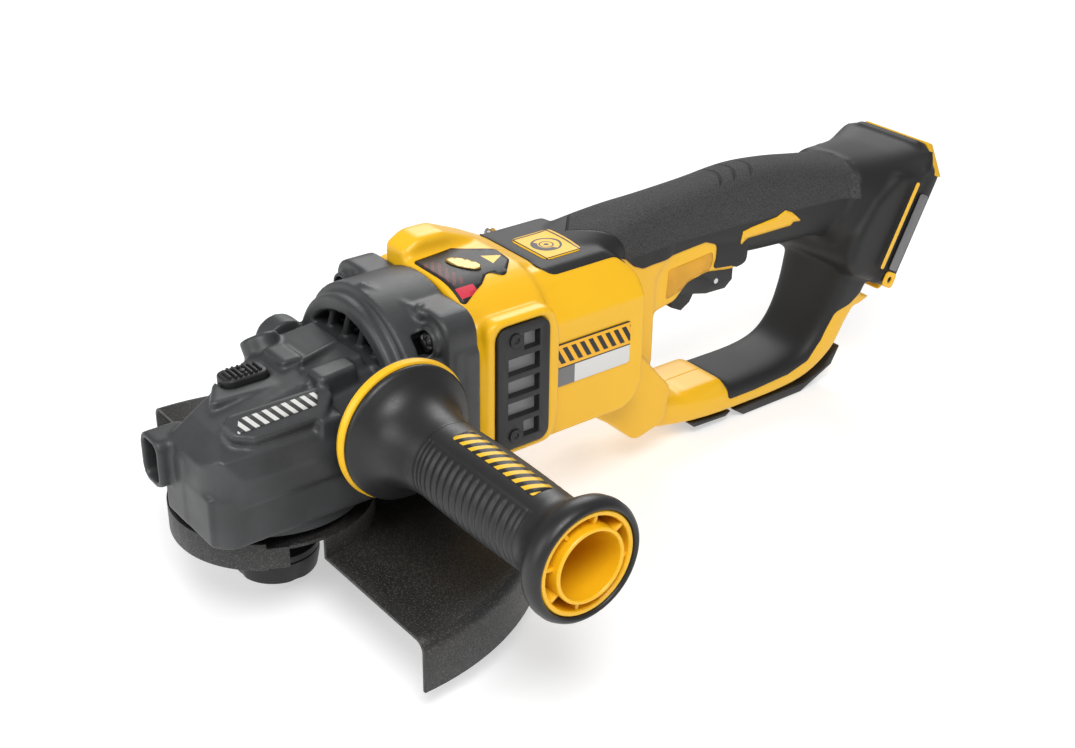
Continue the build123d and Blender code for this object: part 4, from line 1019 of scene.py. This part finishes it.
def foot_spot(v, depth):
    """A point in XZ, up along the battery face and behind it."""
    spot = FOOT_POINT + FOOT_UP * v - FOOT_OUT * depth
    return spot.x, spot.z


def foot_ring(depth, half, low, high, power):
    """One section of the foot for a loft."""
    return (*foot_spot(low, depth), *foot_spot(high, depth), half, power)


def foot_block(half, low, high, front, back, radius, bevel):
    """A block behind the leaning battery face, between two depths."""
    outline = rounded([(-half, low), (half, low), (half, high), (-half, high)], radius)
    bm = prism(outline, -back, -front, "Z", bevel)
    return seated(bm, FOOT_POINT, (0, 1, 0), FOOT_UP)


def housing_solids():
    """Barrel, body, column, loop, grip and foot as overlapping solids."""
    barrel = prism(rounded([(-46, 21), (46, 21), (46, 117), (-46, 117)], [30, 30, 34, 34], 10),
                   84.2, BARREL_END, "X", 2.4)
    body = prism(rounded([(118, 31), (189, 31), (189, 101), (176, 112.5), (118, 112.5)],
                         [0, 16, 12, 6, 0]), -41.8, 41.8, "Y")
    for start, end in (((-44, 88), (-31, 108.5)), ((-31, 108.5), (-23, 114)),
                       ((23, 114), (31, 108.5)), ((31, 108.5), (44, 88))):
        carve_line(body, "X", start, end)
    round_edges(body, 6.5, 4, 50)
    hump = prism(rounded([(84.3, 98), (84.3, 121), (93, 126), (107, 126), (124, 119), (140, 111),
                          (140, 98)], [0, 3, 8, 8, 8, 0, 0]), 13, 31, "Y", 5.0, 3)
    ramp = prism(rounded([(84.3, 90), (84.3, 116.6), (128, 116.2), (150, 109), (150, 90)],
                         [0, 0, 9, 0, 0]), -20, 24, "Y", 4.0, 3)
    solids = [barrel, body, hump, ramp]
    for side in (-1, 1):
        surround = rounded([(87.5, 34), (127, 34), (130.5, 50), (130.5, 92), (126, 106),
                            (88, 106)], 7)
        solids.append(prism(surround, side * 40, side * 48.6, "Y", 1.6))
        gusset = rounded([(146, 40), (200, 50), (224, 22), (220, 2), (200, -3), (186, 10)], 6)
        solids.append(prism(gusset, side * 6, side * 27, "Y", 5.5, 4))
    flank = prism(rounded([foot_spot(v, depth) for depth, v in (
        (10, -12.5), (31, -13.5), (42, -8), (44.5, 8), (41, 30), (30, 48), (10, 55))], 5),
        -33.4, 33.4, "Y", 4.5, 4)
    solids.append(loft([(x, low, x, high, half, 2.7) for x, low, high, half in GRIP], 6, 64))
    solids.append(loft([(ix, iz, ox, oz, half, 4.2) for ix, iz, ox, oz, half in LOOP], 5, 56))
    solids += [
        prism(rounded([(184, 30), (216.5, 34), (216.5, 84), (226, 94), (226, 106), (184, 106)], 3),
              -19.5, 19.5, "Y", 5.0, 4),
        box((240, -19, -2), (273, 19, 8.2), 5.0, 4),
        prism(rounded([(212, 62), (232, 66), (240, 74), (254, 76.5), (272, 73.5), (283, 75),
                       (283, 90), (212, 98)], 3), -17.8, 17.8, "Y", 2.6, 3),
        seated(prism(rounded([(-35.9, -13.6), (35.9, -13.6), (35.9, 56), (22, 69.4), (-22, 69.4),
                              (-35.9, 56)], [7, 7, 4, 3, 3, 4]), -13, 0, "Z", 1.3), FOOT_POINT,
               (0, 1, 0), FOOT_UP),
        loft([foot_ring(*row) for row in FOOT_BACK], 5, 64),
        flank,
        prism(rounded([(362, 34), (370, 44), (386, 42), (392, 37.5), (391, 33), (384, 31.5),
                       (370, 27)], 2), -24, 24, "Y", 2.0),
    ]
    return solids


def housing_cutters():
    """Trigger mouth, vent pockets, battery slot, rail grooves and screw pockets."""
    cutters = [
        box((224, -11.3, 60), (281, 11.3, 100)),
        foot_block(28, -22, 62, -6, 9, 0, 0),
        foot_block(31, -22, 62, 5, 9.4, 0, 0),
    ]
    for side in (-1, 1):
        pocket = rounded([(92.7, 37.7), (123.3, 37.7), (123.3, 102.3), (92.7, 102.3)],
                         VENT_OUTLINE_R)
        cutters.append(prism(pocket, side * 45.2, side * 55, "Y"))
        groove = prism(rectangle((side * 37.4, 25), 5.2, 60, 0), -15, -8, "Z", 0.8)
        cutters.append(seated(groove, FOOT_POINT, (0, 1, 0), FOOT_UP))
    for x, z, seat in ((153, 105, 38), (153, 34, 38), (204, 14, 18), (290, -5, 18), (363, 30, 18)):
        cutters.append(rod((x, seat, z), (x, 60, z), 3.6))
    return cutters


def rubber_region():
    """The stretch of the machine that is overmoulded in black, as prisms across it."""
    grip = rounded([
        (186, 150), (186, 104.6), (193, 101.5), (199, 96), (205, 93.2), (220, 93.6), (250, 95.6),
        (258.5, 92), (258.3, 84), (256.5, 78.6), (270, 77), (279, 72.6), (300, 50), (300, 20),
        (272.5, 12), (272.5, -3.6), (292, -3.8), (319, -2.4), (334, 2), (343.5, 12.5), (352, 28),
        (362, 31), (370, 37), (374, 42.6), (380, 41.2), (386, 39.4), (400, 40), (440, 60),
        (440, 150),
    ], [0, 4, 4, 4, 3, 5, 3, 3, 3, 2, 4, 0, 0, 0, 0, 2, 0, 6, 6, 6, 6, 4, 3, 1, 1, 0, 0, 0, 0], 4)
    patch = rounded([(136, -29), (200, -29), (200, 29), (136, 29)], [7, 0, 0, 7])
    return [prism(grip, -60, 60, "Y"), prism(patch, 104.8, 150, "Z")]


SURFACES = {}             # shells in millimetres that the labels are laid on


class GRINDER_OT_housing(bpy.types.Operator):
    """Moulds the two yellow housing halves and the black rubber over the grip, loop and foot"""
    bl_idname = "grinder.housing"
    bl_label = "Housing and overmould"

    def execute(self, context):
        voxel = sizes().voxel * 1.1
        whole = casting("housing", housing_solids(), housing_cutters(), (), voxel, 6)
        rubber = bpy.data.objects.new("overmould", whole.data.copy())
        context.scene.collection.objects.link(rubber)
        bm = bmesh.new()
        bm.from_mesh(rubber.data)
        bm.normal_update()
        for v in bm.verts:
            v.co += v.normal * sizes().overmould
        bm.to_mesh(rubber.data)
        bm.free()
        region, patch = rubber_region()
        area = put("region", region, 1.0)
        combine(area, put("patch", patch, 1.0), "UNION")
        combine(rubber, area, "INTERSECT")
        shaded(rubber)
        for side, name in ((-1, "housing_left"), (1, "housing_right")):
            half = bpy.data.objects.new(name + "_shell", whole.data.copy())
            context.scene.collection.objects.link(half)
            edge = side * SEAM
            room = box((0, min(edge, side * 90), -60), (480, max(edge, side * 90), 180))
            combine(half, put("side", room, 1.0), "INTERSECT")
            finish(to_metres(shaded(half)), "yellow")
            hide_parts(name)
        SURFACES["housing"] = whole
        SURFACES["rubber"] = rubber
        return {"FINISHED"}


class GRINDER_OT_labels(bpy.types.Operator):
    """Lays the blank labels, the lens and the side trims on the finished shells"""
    bl_idname = "grinder.labels"
    bl_label = "Labels and trims"

    def execute(self, context):
        whole = SURFACES.pop("housing")
        rubber = SURFACES.pop("rubber")
        down, above = (0, 0, -1), (0, 0, 160)
        outline = rounded([(86.5, 9), (86, -33), (102, -25), (109, -19), (115.5, -25),
                           (125, -15), (127, -1), (110, 11)], [2, 2, 3, 3, 3, 4, 3, 4])
        warning = laid("warning_label", outline, whole, down, 0.35, origin=above)
        finish(warning, "warning")
        lens_outline = [(104 + 4.6 * cos(a * pi / 18) + 2.8 * sin(a * pi / 18),
                         -7 - 9.0 * sin(a * pi / 18)) for a in range(36)]
        lens = laid("label_lens", lens_outline, whole, down, 1.1, 1.5, origin=above)
        finish(lens, "gold")
        icon_outline = rectangle((ICON_X, ICON_Y), 23, 30, 4)
        icon = laid("disc_icon_label", icon_outline, rubber, down, 0.3, origin=above)
        finish(icon, "icon")
        for side, name in ((-1, "left"), (1, "right")):
            trim = rounded([(275.5, 87.5), (275.8, 95.4), (282, 96.6), (300, 98.2),
                            (306, 100.6), (311, 98.4), (319, 91.6), (313, 92.4), (311, 90.6),
                            (280, 90.6)], 0.5, 3)
            badge = laid("grip_badge_" + name, trim, rubber, (0, -side, 0), 0.35, 2.0,
                         origin=(0, side * 70, 0), along=(0, 0, 1))
            finish(badge, "yellow")
            grained = rounded([(225, 86), (255.5, 88.5), (256.5, 84), (253, 73.8), (240, 73.5),
                               (224, 69.5)], 1.2, 3)
            plate = laid("grained_patch_" + name, grained, whole, (0, -side, 0), 0.15, 2.0,
                         origin=(0, side * 70, 0), along=(0, 0, 1))
            finish(plate, "yellow_grain")
        bpy.data.objects.remove(whole)
        finish(to_metres(rubber), "grip")
        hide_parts("grip_overmould", "loop_overmould")
        return {"FINISHED"}


# ---- guard --------------------------------------------------------------------------------------
class GRINDER_OT_guard(bpy.types.Operator):
    """Finishes the guard pressing, its hub strap, the clamp screw and the disc clamp"""
    bl_idname = "grinder.guard"
    bl_label = "Guard and disc clamp"

    def execute(self, context):
        finish(refined("guard", 0.45, 2), "guard", "guard")
        finish(refined("guard_band", 0.4, 2), "guard", "guard")
        finish(refined("guard_clamp_screw", 0.2, 2), "black_steel", "guard")
        nut = turned([(7.2, -12), (17.6, -12), (19, -11.2), (20.4, -4), (20.4, -1), (19.6, -0.3),
                      (7.2, -0.3)], steps=120)
        for v in nut.verts:
            if v.co.xy.length > 17 and v.co.z < -3:
                lobe = cos(atan2(v.co.y, v.co.x) * 4)
                v.co.xy *= 1 - 0.035 * max(0, lobe) ** 6
        piece = finish(crisp(put("locking_nut_finished", nut), 0.2),
                       "black_steel", "spindle")
        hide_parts("locking_nut")
        return {"FINISHED"}


# ---- side handle --------------------------------------------------------------------------------
class GRINDER_OT_side_handle(bpy.types.Operator):
    """Moulds the side handle: trumpet base, ribbed grip with a smooth top panel, open yellow end"""
    bl_idname = "grinder.side_handle"
    bl_label = "Side handle"

    def execute(self, context):
        shape = [(31.6, 62.4), (31.6, 64.2), (30.2, 65.4), (27.2, 67), (23.6, 70), (21, 74.5),
                 (19.4, 80), (18.4, 86), (17.8, 92)]
        length = [92 + k * 0.7 for k in range(1, 103)]
        outer = shape + [(17.6 + 0.9 * sin((y - 92) / 72 * pi), y) for y in length]
        outer += [(18.2, 166), (19.2, 169.4), (21.2, 172.6), (24, 175.4), (25.8, 178), (26.6, 181),
                  (26.5, 184), (25.6, 186), (24.2, 187.2), (23.2, 187), (22.7, 186)]
        profile = outer + [(22.7, 176), (15.6, 172), (15.6, 62.4)]
        grip = turned(profile, "Y", (0, 0, 0), 160)
        count = sizes().ribs
        for v in grip.verts:
            y = -v.co.y
            around = atan2(v.co.z, v.co.x)
            reach = Vector((v.co.x, v.co.z)).length
            if reach < 16.5 or not 90 < y < 167:
                continue
            out = Vector((v.co.x, 0, v.co.z)).normalized()
            top = abs((around - radians(90) + pi) % (2 * pi) - pi)
            bottom = abs((around + radians(90) + pi) % (2 * pi) - pi)
            side_share = min(1, max(0, (min(top, bottom) - radians(36)) / radians(7)))
            along = (y - 101) / 58
            lift = 0.0
            if 0 < along < 1:
                lift -= 0.75 * side_share * (0.5 + 0.5 * cos(along * count * 2 * pi)) ** 2
            panel = top < radians(33) and 94 < y < 164
            lift += 0.55 if panel else 0.0
            for ring in (95.5, 98.5, 161.5, 164.5):
                if abs(y - ring) < 0.5 and not panel:
                    lift -= 0.5
            v.co += out * lift
        bmesh.ops.translate(grip, verts=grip.verts, vec=(HANDLE_X, 0, HANDLE_Z))
        bmesh.ops.recalc_face_normals(grip, faces=grip.faces)
        for face in grip.faces:
            face.smooth = True
        handle = finish(put("side_handle_rubber", grip), "handle")
        surface = bpy.data.objects.new("surface", handle.data.copy())
        surface.data.transform(Matrix.Scale(1 / MM, 4))
        band = rounded([(HANDLE_X - 5, -104), (HANDLE_X + 5, -104), (HANDLE_X + 5, -158),
                        (HANDLE_X - 5, -158)], 1.0, 2)
        stripe = laid("handle_badge", band, surface, (0, 0, -1), 0.25, 2.5, origin=(0, 0, 130))
        bpy.data.objects.remove(surface)
        finish(stripe, "handle_badge")
        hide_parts("side_handle_grip")
        ring = turned([(22.5, 176.4), (22.5, 185.6), (22.1, 186.2), (20.6, 186.2), (20.2, 185.6),
                       (20.0, 172.5), (16.4, 172.5), (16.4, 187.6), (16, 188.2), (15, 188.2),
                       (14.6, 187.6), (14.6, 116), (6, 112), (6, 62.6), (15.4, 62.6),
                       (15.4, 171.6), (22.4, 175.4)], "Y", (HANDLE_X, 0, HANDLE_Z), 128)
        spokes = []
        for k in range(8):
            spoke = box((15.8, -185.2, -0.8), (21, -172.4, 0.8), 0.25)
            bmesh.ops.rotate(spoke, verts=spoke.verts, cent=(0, 0, 0),
                             matrix=Matrix.Rotation(radians(12) + k * pi / 4, 3, "Y"))
            bmesh.ops.translate(spoke, verts=spoke.verts, vec=(HANDLE_X, 0, HANDLE_Z))
            spokes.append(spoke)
        flange = turned([(15.6, 57.2), (31.4, 57.2), (32.6, 58), (33, 59.6), (32.4, 61.6),
                         (31.2, 62.2), (15.6, 62.2)], "Y", (HANDLE_X, 0, HANDLE_Z), 128)
        core = finish(crisp(put("side_handle_yellow", joined([ring, flange] + spokes)), 0.15),
                      "yellow")
        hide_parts("side_handle_core")
        finish(refined("side_handle_washer", 0.5, 3), "plastic")
        return {"FINISHED"}


# ---- trigger, vents, foot trims -----------------------------------------------------------------
class GRINDER_OT_fittings(bpy.types.Operator):
    """Finishes the trigger, lock-off lever, vent covers, pads, foot trims and inner pieces"""
    bl_idname = "grinder.fittings"
    bl_label = "Trigger, vents and trims"

    def execute(self, context):
        finish(refined("trigger", 0.9, 3), "plastic", "trigger")
        finish(refined("lock_off_lever", 0.6, 2), "plastic", "lock_off_lever")
        for name in ("vent_cover_left", "vent_cover_right"):
            finish(refined(name, 0.5, 2), "plastic")
        finish(refined("vent_screws", 0.2, 2), "black_steel")
        finish(refined("loop_pads", 1.2, 3), "handle")
        strip = [(-37, 55.4), (-23, 71), (23, 71), (37, 55.4), (35, 54.6), (21.6, 68.8),
                 (-21.6, 68.8), (-35, 54.6)]
        trim = seated(prism(strip, -5.2, 0.3, "Z"), FOOT_POINT, (0, 1, 0), FOOT_UP)
        trim = finish(crisp(put("foot_trim_strip", trim), 0.5), "yellow")
        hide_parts("foot_trim")
        finish(refined("rail_inlays", 0.2, 2), "yellow")
        finish(refined("rail_plates", 0.12, 2), "grey_plate")
        finish(refined("lanyard_tabs", 0.15, 2), "yellow")
        finish(refined("side_badges", 0.15, 2), "badge")
        for key, names in CAD_FINISHES.items():
            for name in names:
                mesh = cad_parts[name].data
                mesh.materials.clear()
                mesh.materials.append(FINISHES[key])
        return {"FINISHED"}


# ---- stage --------------------------------------------------------------------------------------
class GRINDER_OT_stage(bpy.types.Operator):
    """Sets the floor, the soft lights and the camera"""
    bl_idname = "grinder.stage"
    bl_label = "Stage"

    def execute(self, context):
        ground = bmesh.new()
        bmesh.ops.create_grid(ground, x_segments=4, y_segments=4, size=6000)
        bmesh.ops.translate(ground, verts=ground.verts, vec=(0, 0, CAD_BOX[0].z / MM - 0.4))
        floor = put("floor", ground)
        paper = Finish("paper", (0.62, 0.62, 0.62), 0.85)
        paper.set("Roughness", 0.8 + paper.noise(40) * 0.1)
        paper.set("Emission Color", (1, 1, 1, 1))
        paper.set("Emission Strength", 0.5)
        floor.data.materials.append(paper.material)
        world = bpy.data.worlds.new("studio")
        world.use_nodes = True
        world.node_tree.nodes["Background"].inputs["Color"].default_value = (1, 1, 1, 1)
        world.node_tree.nodes["Background"].inputs["Strength"].default_value = 0.34
        context.scene.world = world
        for name, place, size, power in LIGHTS:
            light = bpy.data.lights.new(name, "AREA")
            light.shape = "DISK"
            light.size = size
            light.energy = power
            lamp = bpy.data.objects.new(name, light)
            lamp.location = place
            lamp.rotation_mode = "QUATERNION"
            lamp.rotation_quaternion = (Vector(place) - LIGHT_AIM).to_track_quat("Z", "Y")
            context.scene.collection.objects.link(lamp)
        lens = bpy.data.cameras.new("camera")
        lens.sensor_width = 36
        lens.lens = CAMERA_LENS
        lens.clip_start = 0.01
        camera = bpy.data.objects.new("camera", lens)
        camera.matrix_world = Matrix.Translation(CAMERA_PLACE) @ (
            Matrix((CAMERA_RIGHT, CAMERA_UP, CAMERA_BACK)).transposed().to_4x4())
        context.scene.collection.objects.link(camera)
        context.scene.camera = camera
        context.scene.view_settings.view_transform = "Standard"
        return {"FINISHED"}


class GRINDER_PT_panel(bpy.types.Panel):
    """Lists the grinder's sizes, colours and pieces"""
    bl_label = "Angle grinder"
    bl_space_type = "VIEW_3D"
    bl_region_type = "UI"
    bl_category = "Grinder"

    def draw(self, context):
        for group in (context.scene.grinder_sizes, context.scene.grinder_colors):
            for key in group.__annotations__:
                self.layout.prop(group, key)
        for operator in OPERATORS:
            self.layout.operator(operator.bl_idname)


OPERATORS = (GRINDER_OT_stage, GRINDER_OT_gear_case, GRINDER_OT_head_fittings, GRINDER_OT_housing,
             GRINDER_OT_labels, GRINDER_OT_guard, GRINDER_OT_side_handle, GRINDER_OT_fittings)
CLASSES = (GrinderColors, GrinderSizes, *OPERATORS, GRINDER_PT_panel)


def register():
    for one in CLASSES:
        bpy.utils.register_class(one)
    bpy.types.Scene.grinder_sizes = bpy.props.PointerProperty(type=GrinderSizes)
    bpy.types.Scene.grinder_colors = bpy.props.PointerProperty(type=GrinderColors)


def unregister():
    del bpy.types.Scene.grinder_sizes
    del bpy.types.Scene.grinder_colors
    for one in reversed(CLASSES):
        bpy.utils.unregister_class(one)


def main():
    """Builds every piece in order."""
    register()
    make_finishes(bpy.context.scene.grinder_colors)
    bpy.ops.grinder.stage()
    bpy.ops.grinder.gear_case()
    bpy.ops.grinder.head_fittings()
    bpy.ops.grinder.housing()
    bpy.ops.grinder.labels()
    bpy.ops.grinder.guard()
    bpy.ops.grinder.side_handle()
    bpy.ops.grinder.fittings()


if __name__ == "__main__":
    main()
